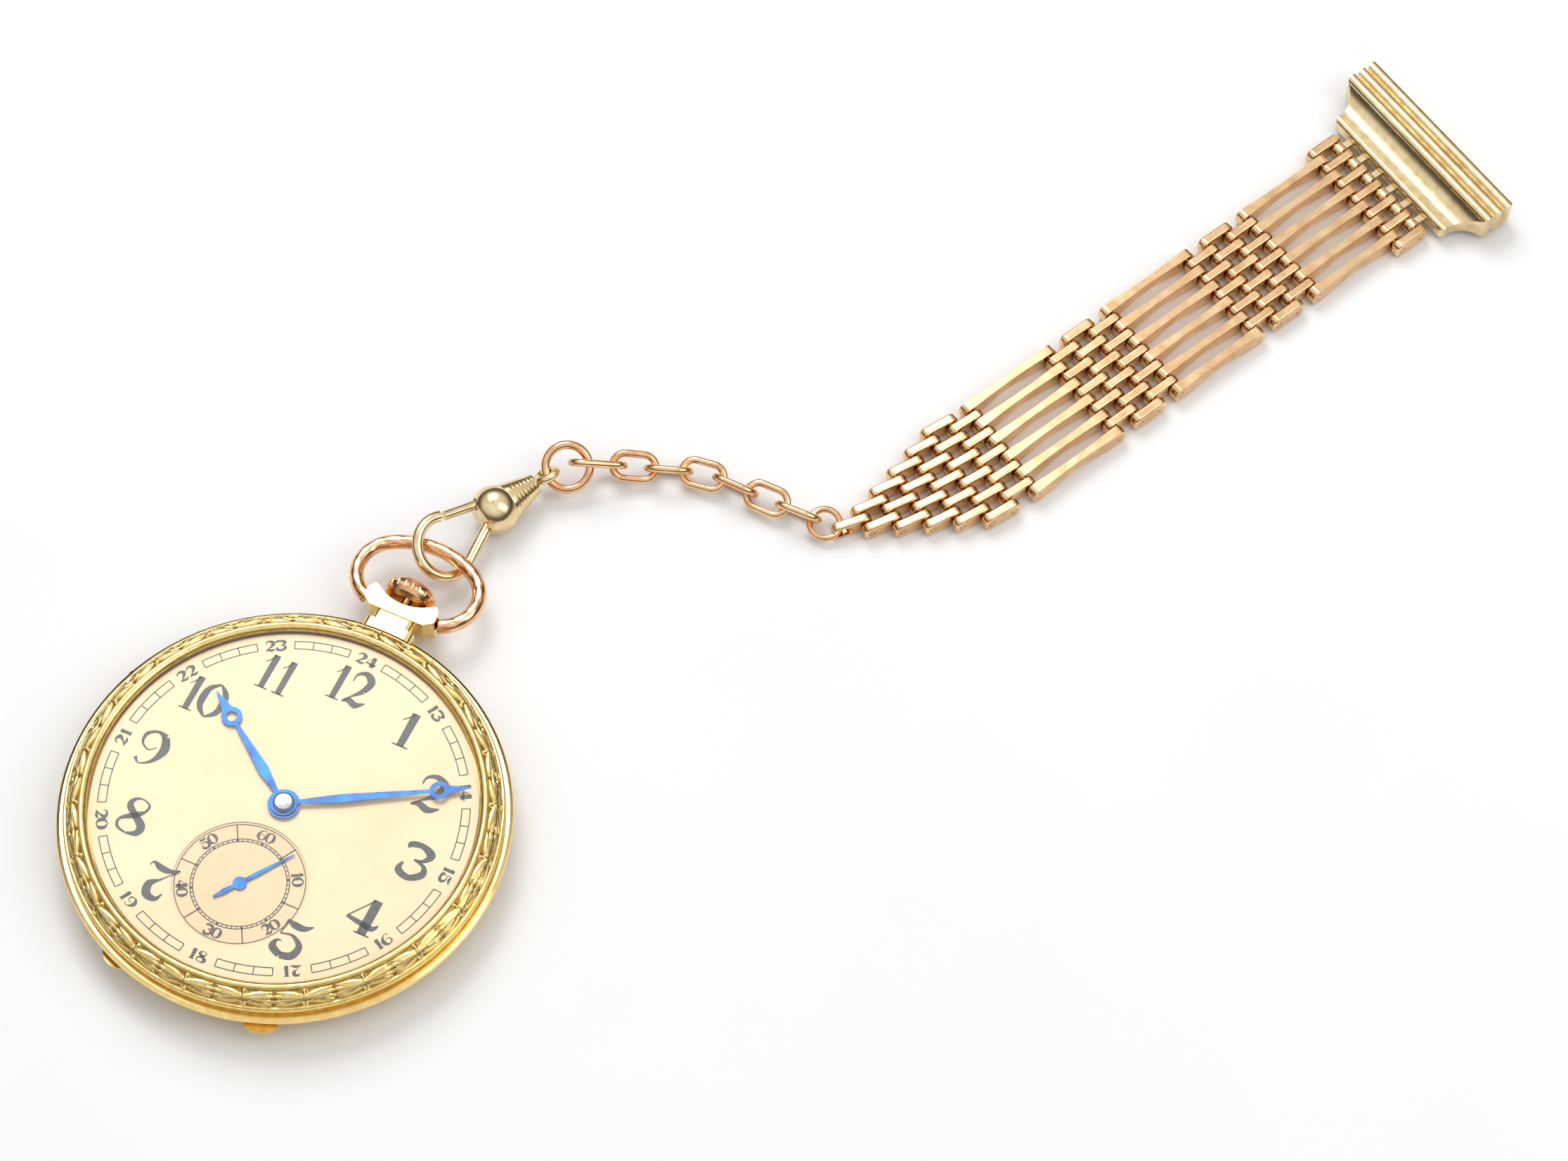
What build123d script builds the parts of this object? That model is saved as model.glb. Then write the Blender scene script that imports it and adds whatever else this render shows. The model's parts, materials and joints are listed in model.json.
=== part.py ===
"""An open-face gold pocket watch with its swivel, oval-link chain and gate-link fob.

Millimetres. The watch lies on its back: z = 0 is the plane it rests on, +Z goes up through the dial,
the origin is under the dial's centre and +Y points to 12 o'clock and the pendant.
Azimuths are clockwise from 12 o'clock, seen from the dial side.
"""

import os
from math import atan2, cos, degrees, hypot, pi, radians, sin, sqrt

from build123d import *

os.makedirs("parts", exist_ok=True)

# ---------------------------------------------------------------- driving dimensions
CASE_R = 24.6  # widest radius of the case band
RIM_Z = 4.25  # height of that widest line
DIAL_Z = 6.4  # top of the dial
DIAL_THICK = 0.4
DIAL_R = 20.9
GLASS_R = 21.03  # where the glass meets the bezel's lip
GLASS_TOP_Z = 8.65
SECONDS_Y = -10.2  # the small seconds dial is this far below centre
SECONDS_R = 7.3
SECONDS_SINK = 0.15

PLATE_R = 20.5
PLATE_Z = (4.1, 5.4)  # mainplate, bottom and top
BRIDGE_Z = (1.4, 2.3)
BRIDGE_R = 19.2

HINGE_AZ = 300.0  # case hinge, beside 10 o'clock
HINGE_R = 24.35
HINGE_Z = 2.95
HINGE_PIN_R = 0.28
KNUCKLE_R = 0.62
BACK_LIP_AZ = 159.0
COVER_LIP_AZ = 202.0

STEM_Z = 4.0  # the stem, crown and bow share this height
STEM_R = 0.55
CROWN_R = 3.0
PIVOT_Y = 27.7  # bow pivots in the pendant's ears
EAR_X = 4.3
BOW_WIRE_R = 0.85
BOW_DROP = 2.5  # degrees that the bow hangs below level

RUN = 0.06  # running clearance of a shaft in its hole
FIT = 0.12  # clearance between chain wires

SWIVEL_POS = (3.26, 44.26, 2.85)  # centre of the swivel's ball
SWIVEL_HEADING = 63.25  # degrees from +X, from the ball to the cone
BALL_R = 2.8
HOOK_U = Vector(-0.363, -0.918, 0.163).normalized()  # from the ball along the hook
HOOK_W = Vector(-0.730, 0.388, 0.562)  # across the hook, towards its gate
HOOK_WIRE_R = 0.66

CHAIN_WIRE_R = 0.43
LINK_HALVES = (3.05, 2.45, 2.45, 2.45, 2.45, 2.45, 2.45)  # half lengths of the links' centrelines
LINK_SLACKS = (1.0, 0.3, 0.0, 0.0, 0.0, 0.0, 0.0)  # how far each link is from being pulled tight
LINK_END_R = 1.42  # radius of its rounded ends
BIG_RING_R = 2.5
BIG_WIRE_R = 0.5
SMALL_RING_R = 1.72
SMALL_WIRE_R = 0.38
SMALL_FACE = Vector(0.1, -0.17, 0.98)
LINK_HEADINGS = (31, 22, 21, 8, -1, -1, 1)  # degrees from +X, along the chain
CHAIN_Z = 1.75
FACE = Vector(0.25, -0.43, 0.87).normalized()  # the flat-lying links lean this way

PITCH = 3.05  # pin to pin, short fob links
GATE_PITCH = 12.0  # pin to pin, long gate links
LINK_STEP = 1.3  # from one link to its interleaved neighbour
LINK_WIDE = 1.14
LINK_TALL = 2.2
LINK_NOSE = 0.85  # a link reaches this far past its pin
FOB_PIN_R = 0.34
FOB_Z = LINK_TALL / 2 + 0.02
FOB_START = Vector(38.72, 59.25, FOB_Z)
ROW_COUNTS = (1, 2, 3, 4, 5, 6, 5, 6, 5, 6, 5, 6, 5, 6, 5, 6, 7)
GATE_ROWS = (7, 11, 15)  # rows made of long links, counted from 0
ROW_HEADINGS = (46, 51, 52, 54, 56, 58, 61)  # later rows keep FOB_HEADING
FOB_HEADING = 63.8
PIN_FACINGS = (56.5,) * 7 + (59.0,)  # which way each pin's rows face; later pins keep FOB_FACING
FOB_FACING = 61.5

CLASP_LONG = 25.0
CLASP_NECK = 19.4
CLASP_DEEP = 8.5


# ---------------------------------------------------------------- small helpers
def save(name, *solids):
    """Write one node: its solids in one STEP file."""
    parts = [s for shape in solids for s in shape.solids()]
    node = parts[0] if len(parts) == 1 else Compound(children=parts)
    node.label = name
    export_step(node, f"parts/{name}.step")


def tube(radius, z0, z1, bore=0.0, x=0.0, y=0.0):
    """A vertical cylinder or sleeve between two heights."""
    body = Cylinder(radius, z1 - z0, align=(Align.CENTER, Align.CENTER, Align.MIN))
    if bore:
        body -= Cylinder(bore, z1 - z0, align=(Align.CENTER, Align.CENTER, Align.MIN))
    return Pos(x, y, z0) * body


def turned(points):
    """Revolve an (r, z) outline about the Z axis."""
    outline = Polyline(*[(r, 0, z) for r, z in points], close=True)
    return revolve(make_face(outline), Axis.Z, 360)


def rod(start, end, radius):
    """A cylinder from one point to another."""
    run = end - start
    plane = Plane(origin=start, z_dir=run.normalized())
    return plane.location * Cylinder(radius, run.length, align=(Align.CENTER, Align.CENTER, Align.MIN))


def polar(radius, azimuth, z=0.0):
    """A point from its clock azimuth."""
    return Vector(radius * sin(radians(azimuth)), radius * cos(radians(azimuth)), z)


def heading(angle):
    """A level unit vector, counted from +X."""
    return Vector(cos(radians(angle)), sin(radians(angle)), 0)


def block(x0, x1, y0, y1, z0, z1):
    """A box from its corners."""
    return Pos(x0, y0, z0) * Box(x1 - x0, y1 - y0, z1 - z0, align=(Align.MIN, Align.MIN, Align.MIN))


def toothed(teeth, module, z0, z1, phase=0.0, slim=0.17):
    """A gear blank with slender teeth, centred on Z, one tooth at the phase angle (degrees)."""
    step = 2 * pi / teeth
    pitch_r = teeth * module / 2
    root_r = pitch_r - 1.05 * module
    tip_r = pitch_r + 0.7 * module
    points = []
    for tooth in range(teeth):
        middle = radians(phase) + tooth * step
        for radius, offset in ((root_r, -0.26), (pitch_r, -slim), (tip_r, -0.06)):
            points.append((radius, middle + offset * step))
        for radius, offset in ((tip_r, 0.06), (pitch_r, slim), (root_r, 0.26)):
            points.append((radius, middle + offset * step))
    outline = Polyline(*[(r * cos(a), r * sin(a)) for r, a in points], close=True)
    return Pos(0, 0, z0) * extrude(make_face(outline), z1 - z0)


def spoked(teeth, module, z0, z1, phase=0.0, spokes=5, bore=0.0):
    """A train wheel: toothed rim, spokes and hub."""
    pitch_r = teeth * module / 2
    rim_r = pitch_r - 1.05 * module - 0.45
    hub_r = 0.16 * pitch_r + 0.5
    wheel = toothed(teeth, module, z0, z1, phase)
    window = tube(rim_r, z0, z1, bore=hub_r)
    for index in range(spokes):
        arm = Rot(0, 0, index * 360 / spokes) * block(0, pitch_r, -0.28, 0.28, z0, z1)
        window -= arm
    wheel -= window
    if bore:
        wheel -= tube(bore, z0, z1)
    return wheel


def meshing_phase(centre_a, teeth_a, phase_a, centre_b, teeth_b):
    """The phase that puts a gap of gear b where gear a has a tooth. Degrees."""
    line = degrees(atan2(centre_b[1] - centre_a[1], centre_b[0] - centre_a[0]))
    behind = (line - phase_a) % (360 / teeth_a)
    return line + 180 + behind * teeth_a / teeth_b + 180 / teeth_b


# ---------------------------------------------------------------- case
def along_rim(length, r0, r1, z0, z1, azimuth, shift=0.0):
    """A bar lying along the rim at one azimuth, from radius r0 to r1."""
    bar = block(shift - length / 2, shift + length / 2, r0, r1, z0, z1)
    return Rot(0, 0, -azimuth) * bar


def knuckle(shift, length):
    """One barrel of the case hinge, bored for its pin."""
    middle = Plane(origin=(shift, HINGE_R, HINGE_Z), z_dir=(1, 0, 0))
    barrel = Cylinder(KNUCKLE_R, length) - Cylinder(HINGE_PIN_R + RUN, length)
    return Rot(0, 0, -HINGE_AZ) * (middle.location * barrel)


def hinge_gap(shift, length):
    """The room that a knuckle needs in its neighbours."""
    middle = Plane(origin=(shift, HINGE_R, HINGE_Z), z_dir=(1, 0, 0))
    return Rot(0, 0, -HINGE_AZ) * (middle.location * Cylinder(KNUCKLE_R + 0.12, length))


KNUCKLE_LONG = 1.7
BACK_KNUCKLES = (-3.7, 3.7)
COVER_KNUCKLES = (-1.85, 1.85)
HINGE_LONG = 9.1


def pendant():
    """Neck and stirrup block, soldered to the band."""
    half = (
        (4.3, 27.1),
        (4.25, 28.3),
        (3.75, 29.0),
        (3.3, 28.85),
    )
    right = [(x, y) for x, y in half]
    left = [(-x, y) for x, y in reversed(half)]
    saddle = ThreePointArc(right[-1], (0, 27.75), left[0])
    sides = Polyline(*([left[0]] + left[1:] + [(-3.2, 26.35), (3.2, 26.35)] + right))
    face = make_face([saddle, sides])
    body = Pos(0, 0, STEM_Z - 1.65) * extrude(face, 3.3)
    neck = Plane(origin=(0, 22.9, STEM_Z), x_dir=(1, 0, 0), z_dir=(0, 1, 0)).location * extrude(
        RectangleRounded(4.7, 2.9, 0.7), 3.9
    )
    step = Plane(origin=(0, 22.9, STEM_Z), x_dir=(1, 0, 0), z_dir=(0, 1, 0)).location * extrude(
        RectangleRounded(5.9, 3.2, 0.8), 2.15
    )
    body = body + neck + step
    stem_hole = rod(Vector(0, 20, STEM_Z), Vector(0, 30, STEM_Z), STEM_R + RUN)
    pivot_holes = rod(Vector(-5, PIVOT_Y, STEM_Z), Vector(-2.9, PIVOT_Y, STEM_Z), 0.5)
    pivot_holes += rod(Vector(2.9, PIVOT_Y, STEM_Z), Vector(5, PIVOT_Y, STEM_Z), 0.5)
    rims = tube(23.95, 4.72, 8) + tube(24.15, 0, 3.2)
    return body - stem_hole - pivot_holes - rims


def case_band():
    ring = turned(
        (
            (20.6, 2.75),
            (22.3, 2.75),
            (22.3, 3.25),
            (23.7, 3.25),
            (24.2, 3.45),
            (24.5, 3.85),
            (CASE_R, RIM_Z),
            (24.5, 4.55),
            (24.2, 4.72),
            (22.5, 4.72),
            (22.5, 5.8),
            (21.1, 5.8),
            (21.1, 5.0),
            (20.6, 5.0),
        )
    )
    ring += knuckle(0, KNUCKLE_LONG) + along_rim(KNUCKLE_LONG, 22.5, 24.0, 3.3, 3.45, HINGE_AZ)
    for shift in BACK_KNUCKLES + COVER_KNUCKLES:
        ring -= hinge_gap(shift, KNUCKLE_LONG + 0.3)
    ring -= along_rim(HINGE_LONG - 3.4, 20.0, 25.0, 2.7, HINGE_Z + 0.3, HINGE_AZ)
    ring -= along_rim(4.2, 20.0, 24.3, 2.7, 3.2, COVER_LIP_AZ)
    ring += knuckle(0, KNUCKLE_LONG) + along_rim(KNUCKLE_LONG, 23.3, 24.1, 3.25, 3.5, HINGE_AZ)
    ring -= rod(Vector(0, 19, STEM_Z), Vector(0, 26, STEM_Z), STEM_R + RUN)
    return ring + pendant()


def bezel():
    return turned(
        (
            (GLASS_R, 6.62),
            (21.5, 6.62),
            (21.5, 6.05),
            (22.65, 6.05),
            (22.65, 4.85),
            (23.75, 4.85),
            (23.8, 5.25),
            (23.69, 5.78),
            (23.3, 6.5),
            (22.7, 7.05),
            (21.96, 7.38),
            (21.56, 7.49),
            (21.2, 7.25),
            (GLASS_R, 6.95),
        )
    )


def crystal():
    """Bevelled mineral glass with a low dome."""
    return turned(
        (
            (0, GLASS_TOP_Z),
            (4, GLASS_TOP_Z - 0.02),
            (8, GLASS_TOP_Z - 0.11),
            (12, GLASS_TOP_Z - 0.26),
            (16, GLASS_TOP_Z - 0.49),
            (19.6, 7.82),
            (20.97, 7.0),
            (20.97, 6.62),
            (20.5, 6.62),
            (20.35, 7.05),
            (19.4, 7.4),
            (10, GLASS_TOP_Z - 0.87),
            (0, GLASS_TOP_Z - 0.7),
        )
    )


def case_back():
    shell = turned(
        (
            (0, 0),
            (14.5, 0),
            (18.5, 0.25),
            (21.3, 0.75),
            (23.0, 1.45),
            (23.8, 2.25),
            (24.0, 3.1),
            (22.55, 3.1),
            (22.55, 2.1),
            (21.0, 1.22),
            (18.2, 0.64),
            (14.5, 0.4),
            (0, 0.4),
        )
    )
    lip_outline = make_face(ThreePointArc((-2.3, 23.6), (0, 25.05), (2.3, 23.6)) + Line((2.3, 23.6), (-2.3, 23.6)))
    lip = Rot(0, 0, -BACK_LIP_AZ) * (Pos(0, 0, 2.45) * extrude(lip_outline, 0.5))
    shell -= along_rim(HINGE_LONG, 22.9, 25.5, 2.2, 3.3, HINGE_AZ)
    shell -= along_rim(HINGE_LONG - 3.4, 21.0, 25.5, 2.2, 3.3, HINGE_AZ)
    shell -= along_rim(4.2, 22.0, 25.5, 2.72, 3.3, COVER_LIP_AZ)
    for shift in BACK_KNUCKLES:
        shell += knuckle(shift, KNUCKLE_LONG)
        arm = along_rim(KNUCKLE_LONG, 22.6, HINGE_R - 0.35, 2.05, 2.6, HINGE_AZ, shift)
        shell += arm
    return shell + lip


def cuvette():
    """The inner dust cover."""
    shell = turned(
        (
            (0, 0.56),
            (15.5, 0.56),
            (18.4, 0.84),
            (20.2, 1.3),
            (21.0, 1.9),
            (21.3, 2.6),
            (21.0, 2.6),
            (20.7, 2.0),
            (20.0, 1.5),
            (18.3, 1.08),
            (15.5, 0.8),
            (0, 0.8),
        )
    )
    for shift in COVER_KNUCKLES:
        arm = along_rim(KNUCKLE_LONG, 20.9, HINGE_R - 0.4, 2.35, 2.6, HINGE_AZ, shift)
        shell += arm + knuckle(shift, KNUCKLE_LONG)
    lip_face = make_face(ThreePointArc((-1.9, 23.7), (0, 24.95), (1.9, 23.7)) + Line((1.9, 23.7), (-1.9, 23.7)))
    lip = Pos(0, 0, 2.8) * extrude(lip_face, 0.3)
    lip += block(-1.5, 1.5, 21.0, 23.8, 2.8, 3.1) + block(-1.5, 1.5, 20.95, 21.25, 2.4, 3.1)
    return shell + Rot(0, 0, -COVER_LIP_AZ) * lip


def hinge_pin():
    plane = Plane(origin=(0, HINGE_R, HINGE_Z), z_dir=(1, 0, 0))
    return Rot(0, 0, -HINGE_AZ) * (plane.location * Cylinder(HINGE_PIN_R, HINGE_LONG))


def crown():
    """Onion crown: a ribbed turned body, bored for the stem."""
    outline = Polyline(
        (0, 28.5),
        (2.1, 28.5),
        (2.65, 28.95),
        (2.95, 29.45),
        (CROWN_R, 29.8),
        (2.85, 30.3),
        (2.4, 30.75),
        (1.5, 31.05),
        (0, 31.1),
        close=True,
    )
    body = revolve(make_face(outline), Axis.Y, 360)
    groove = Plane(origin=(0, 28, 0), z_dir=(0, 1, 0)).location * Cylinder(0.2, 4)
    for rib in range(22):
        turn = radians(rib * 360 / 22)
        body -= Pos((CROWN_R + 0.1) * cos(turn), 1.75, (CROWN_R + 0.1) * sin(turn)) * groove
    body = Pos(0, 0, STEM_Z) * body
    return body - rod(Vector(0, 28, STEM_Z), Vector(0, 30.2, STEM_Z), STEM_R)


def stem():
    shaft = rod(Vector(0, 12.7, STEM_Z), Vector(0, 30.2, STEM_Z), STEM_R)
    pivot = rod(Vector(0, 11.5, STEM_Z), Vector(0, 12.7, STEM_Z), 0.3)
    square = Pos(0, 13.6, STEM_Z) * Box(0.74, 2.5, 0.74)
    sleeve = rod(Vector(0, 12.7, STEM_Z), Vector(0, 14.8, STEM_Z), STEM_R)
    return (shaft - sleeve) + square + pivot


def bow():
    """An open oval of round wire with a pivot at each end."""
    top_r, side_r = 10.0, 4.2
    turn = radians(30)
    top_y = 36.6
    shoulder = (top_r * sin(turn), top_y - top_r * (1 - cos(turn)))
    side = (shoulder[0] - side_r * sin(turn), shoulder[1] - side_r * cos(turn))
    end_x = EAR_X + 0.12
    end_y = side[1] - sqrt(side_r**2 - (end_x - side[0]) ** 2)
    points = [(end_x, end_y), (side[0] + side_r, side[1]), shoulder]
    arcs = [
        ThreePointArc(points[0], (side[0] + side_r * cos(pi / 4), side[1] - side_r * sin(pi / 4)), points[1]),
        ThreePointArc(points[1], (side[0] + side_r * cos(pi / 6), side[1] + side_r * sin(pi / 6)), points[2]),
        ThreePointArc(points[2], (0, top_y), (-shoulder[0], shoulder[1])),
        ThreePointArc(
            (-shoulder[0], shoulder[1]),
            (-side[0] - side_r * cos(pi / 6), side[1] + side_r * sin(pi / 6)),
            (-side[0] - side_r, side[1]),
        ),
        ThreePointArc(
            (-side[0] - side_r, side[1]),
            (-side[0] - side_r * cos(pi / 4), side[1] - side_r * sin(pi / 4)),
            (-end_x, end_y),
        ),
    ]
    path = Wire(arcs)
    section = Plane(origin=path @ 0, z_dir=path % 0).location * Circle(BOW_WIRE_R)
    wire = sweep(section, path=path) - block(-EAR_X - 0.08, EAR_X + 0.08, 25, 30, -2, 2)
    for side_sign in (-1, 1):
        tip = Vector(side_sign * (end_x + 0.25), PIVOT_Y, 0)
        wire += rod(Vector(side_sign * 3.1, PIVOT_Y, 0), tip, 0.44)
    hang = Pos(0, PIVOT_Y, STEM_Z) * Rot(-BOW_DROP, 0, 0) * Pos(0, -PIVOT_Y, 0)
    return hang * wire


# ---------------------------------------------------------------- movement
BARREL = (-6.05, 6.05)
CENTRE = (0.0, 0.0)
THIRD = (3.45, -5.36)
FOURTH = (0.0, SECONDS_Y)
ESCAPE = (-4.6, -12.8)
PALLET = (-7.7, -11.2)
BALANCE = (-11.3, -9.6)
CROWN_WHEEL = (0.0, 12.44)
CLICK = (-12.9, 9.4)
MINUTE_STUD = (-2.70, -1.56)

BRIDGE_PILLARS = {
    "barrel": ((15.8, 9.1), (-7.7, 16.4), (-17.5, 4.6)),
    "train": ((16.6, -7.6), (5.4, -17.2)),
    "balance": ((-17.5, -4.9),),
    "pallet": ((-8.7, -14.5), (-5.7, -8.5)),
}
PALLET_COCK_Z = (3.3, 3.5)
SCREW_R = 0.4


def hole(centre, radius, z0, z1):
    return tube(radius, z0, z1, x=centre[0], y=centre[1])


def mainplate():
    z0, z1 = PLATE_Z
    plate = tube(PLATE_R, z0, z1) + tube(21.0, 5.02, z1)
    plate -= hole(CENTRE, 0.6, z0, z1)
    for arbor in (THIRD, FOURTH, ESCAPE, PALLET, BALANCE):
        plate -= hole(arbor, 0.3, z0, z1)
    plate -= hole(BARREL, 1.1, z0, z1)
    plate -= block(-1.75, 1.75, 12.5, 16.6, z0, z1)
    plate -= rod(Vector(0, 10.9, STEM_Z), Vector(0, 22, STEM_Z), STEM_R + RUN)
    for pillars in BRIDGE_PILLARS.values():
        for spot in pillars:
            plate -= hole(spot, SCREW_R, z0, z0 + 0.9)
    plate += tube(0.3, z1, 5.85, x=MINUTE_STUD[0], y=MINUTE_STUD[1])
    return plate


def pillars_for(name, z0, bridge):
    """Stand a bridge on its pillars and drill it for its screws."""
    for spot in BRIDGE_PILLARS[name]:
        bridge += tube(1.1, z0, PLATE_Z[0], x=spot[0], y=spot[1])
    for spot in BRIDGE_PILLARS[name]:
        bridge -= hole(spot, SCREW_R, z0, PLATE_Z[0])
        bridge -= hole(spot, 0.85, z0, z0 + 0.35)
    return bridge


def barrel_bridge():
    z0, z1 = BRIDGE_Z
    bridge = tube(BRIDGE_R, z0, z1)
    bridge -= block(-21, 21, -21, 0.9, z0, z1)
    bridge -= hole(BARREL, 6.05, 1.85, z1)
    bridge -= hole(CROWN_WHEEL, 3.5, 1.85, z1)
    bridge -= hole(CLICK, 2.3, 1.85, z1)
    bridge -= block(-1.6, 1.6, 12.5, 20.5, 1.85, z1)
    bridge = pillars_for("barrel", z0, bridge)
    bridge += tube(0.7, 1.85, z1, x=CROWN_WHEEL[0], y=CROWN_WHEEL[1])
    bridge += tube(0.45, 1.85, z1, x=CLICK[0], y=CLICK[1])
    return bridge - hole(BARREL, 1.06, z0, z1)


def train_bridge():
    z0, z1 = BRIDGE_Z
    bridge = tube(BRIDGE_R, z0, z1)
    bridge -= block(-21, 21, 0.7, 21, z0, z1)
    bridge -= hole(BALANCE, 6.9, z0, z1)
    bridge -= hole(BARREL, 6.05, 1.85, z1)
    bridge -= block(-21, -5.2, -12.0, 0.8, z0, z1)
    bridge -= block(-21, -8.0, -21, -8.0, z0, z1)
    for arbor in (CENTRE, THIRD, FOURTH, ESCAPE):
        bridge -= hole(arbor, 0.3, z0, z1)
    return pillars_for("train", z0, bridge)


def strip(start, end, width, z0, z1):
    """A flat bar with a round end, between two plan points."""
    run = hypot(end[0] - start[0], end[1] - start[1])
    bar = block(0, run, -width / 2, width / 2, z0, z1)
    turn = degrees(atan2(end[1] - start[1], end[0] - start[0]))
    return Pos(start[0], start[1], 0) * Rot(0, 0, turn) * bar + tube(width / 2, z0, z1, x=end[0], y=end[1])


def balance_cock():
    z0, z1 = BRIDGE_Z
    foot = BRIDGE_PILLARS["balance"][0]
    cock = strip(foot, BALANCE, 4.2, z0, z1) + tube(2.0, z0, z1, x=foot[0], y=foot[1])
    cock = pillars_for("balance", z0, cock & tube(BRIDGE_R, z0, z1))
    return cock - hole(BALANCE, 0.3, z0, z1)


def pallet_cock():
    z0, z1 = PALLET_COCK_Z
    first, second = BRIDGE_PILLARS["pallet"]
    cock = strip(first, PALLET, 1.3, z0, z1) + strip(PALLET, second, 1.3, z0, z1)
    cock += tube(0.75, z0, z1, x=first[0], y=first[1])
    for spot in (first, second):
        cock += tube(0.62, z0, PLATE_Z[0], x=spot[0], y=spot[1])
        cock -= hole(spot, SCREW_R, z0, PLATE_Z[0])
    return cock - hole(PALLET, 0.26, z0, z1)


def movement_screws():
    """One slotted screw in each bridge foot."""
    screws = []
    for name, spots in BRIDGE_PILLARS.items():
        small = name == "pallet"
        z0 = PALLET_COCK_Z[0] - 0.14 if small else BRIDGE_Z[0] + 0.03
        head = 0.14 if small else 0.3
        for x, y in spots:
            screw = tube(SCREW_R, z0, PLATE_Z[0] + 0.8, x=x, y=y)
            screw += tube(2 * SCREW_R, z0, z0 + head, x=x, y=y)
            screw -= block(x - 1, x + 1, y - 0.09, y + 0.09, z0, z0 + head / 2)
            screws.append(screw)
    return screws


BARREL_TEETH, CENTRE_LEAVES, BARREL_MODULE = 80, 10, 0.19
CENTRE_TEETH, THIRD_LEAVES, CENTRE_MODULE = 80, 10, 0.1417
THIRD_TEETH, FOURTH_LEAVES, THIRD_MODULE = 75, 10, 0.14
FOURTH_TEETH, ESCAPE_LEAVES, FOURTH_MODULE = 80, 8, 0.12
CANNON_TEETH, MINUTE_TEETH, MOTION_MODULE = 12, 36, 0.13
MINUTE_LEAVES, HOUR_TEETH = 10, 40
HOUR_MODULE = MOTION_MODULE * (CANNON_TEETH + MINUTE_TEETH) / (MINUTE_LEAVES + HOUR_TEETH)
RATCHET_TEETH, CROWN_TEETH, WINDING_MODULE = 70, 40, 0.16
ESCAPE_TEETH = 15


def barrel():
    """Drum with its toothed flange; the cover is the closed side."""
    phase = meshing_phase(CENTRE, CENTRE_LEAVES, 0, BARREL, BARREL_TEETH)
    drum = tube(7.0, 2.75, 4.0) + toothed(BARREL_TEETH, BARREL_MODULE, 2.9, 3.25, phase)
    drum -= tube(6.6, 3.0, 3.8)
    drum -= tube(0.86, 2.75, 4.0)
    return Pos(*BARREL, 0) * drum


def barrel_arbor():
    arbor = tube(0.8, 2.3, 4.08) + tube(1.3, 3.05, 3.75) + tube(1.0, 4.08, 4.9)
    arbor += tube(1.0, 1.45, 2.3)
    return Pos(*BARREL, 0) * arbor


def mainspring():
    """A coiled ribbon, drawn as arcs that grow half a turn at a time."""
    spring = None
    radius, gap = 1.75, 0.36
    for half in range(24):
        bow_r = radius + half * gap / 2
        centre_x = 0 if half % 2 == 0 else gap / 2
        ring = tube(bow_r + 0.09, 3.1, 3.7, bore=bow_r - 0.09, x=centre_x)
        side = block(-10, 10, 0, 10, 3.0, 3.8) if half % 2 == 0 else block(-10, 10, -10, 0, 3.0, 3.8)
        piece = ring & side
        spring = piece if spring is None else spring + piece
    return Pos(*BARREL, 0) * spring


def arbor(centre, z0=1.6, z1=4.9, shoulder=2.34, radius=0.32, pivot_r=0.22):
    """A wheel's steel axle, thick between its shoulders and fine in its pivot holes."""
    x, y = centre
    return tube(radius, shoulder, 4.06, x=x, y=y) + tube(pivot_r, z0, z1, x=x, y=y)


def train_phases():
    """Tooth angles that put every wheel in mesh at rest."""
    phases = {"centre_wheel": 0.0, "centre_pinion": 0.0}
    phases["third_pinion"] = meshing_phase(CENTRE, CENTRE_TEETH, 0, THIRD, THIRD_LEAVES)
    phases["fourth_pinion"] = meshing_phase(THIRD, THIRD_TEETH, 0, FOURTH, FOURTH_LEAVES)
    phases["escape_pinion"] = meshing_phase(FOURTH, FOURTH_TEETH, 0, ESCAPE, ESCAPE_LEAVES)
    phases["minute_wheel"] = meshing_phase(CENTRE, CANNON_TEETH, 0, MINUTE_STUD, MINUTE_TEETH)
    phases["hour_wheel"] = meshing_phase(MINUTE_STUD, MINUTE_LEAVES, 0, CENTRE, HOUR_TEETH)
    return phases


PHASES = train_phases()


def centre_wheel():
    wheel = spoked(CENTRE_TEETH, CENTRE_MODULE, 2.42, 2.6, PHASES["centre_wheel"])
    pinion = toothed(CENTRE_LEAVES, BARREL_MODULE, 2.85, 3.3, PHASES["centre_pinion"], 0.15)
    return wheel + pinion + tube(0.42, 2.3, 6.9) + tube(0.24, 1.5, 2.3)


def third_wheel():
    wheel = spoked(THIRD_TEETH, THIRD_MODULE, 3.55, 3.72, 0.0)
    pinion = toothed(THIRD_LEAVES, CENTRE_MODULE, 2.35, 2.72, PHASES["third_pinion"], 0.15)
    return Pos(*THIRD, 0) * (wheel + pinion) + arbor(THIRD)


def fourth_wheel():
    wheel = spoked(FOURTH_TEETH, FOURTH_MODULE, 3.0, 3.17, 0.0)
    pinion = toothed(FOURTH_LEAVES, THIRD_MODULE, 3.45, 3.85, PHASES["fourth_pinion"], 0.15)
    return Pos(*FOURTH, 0) * (wheel + pinion) + arbor(FOURTH, z1=6.5)


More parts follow.
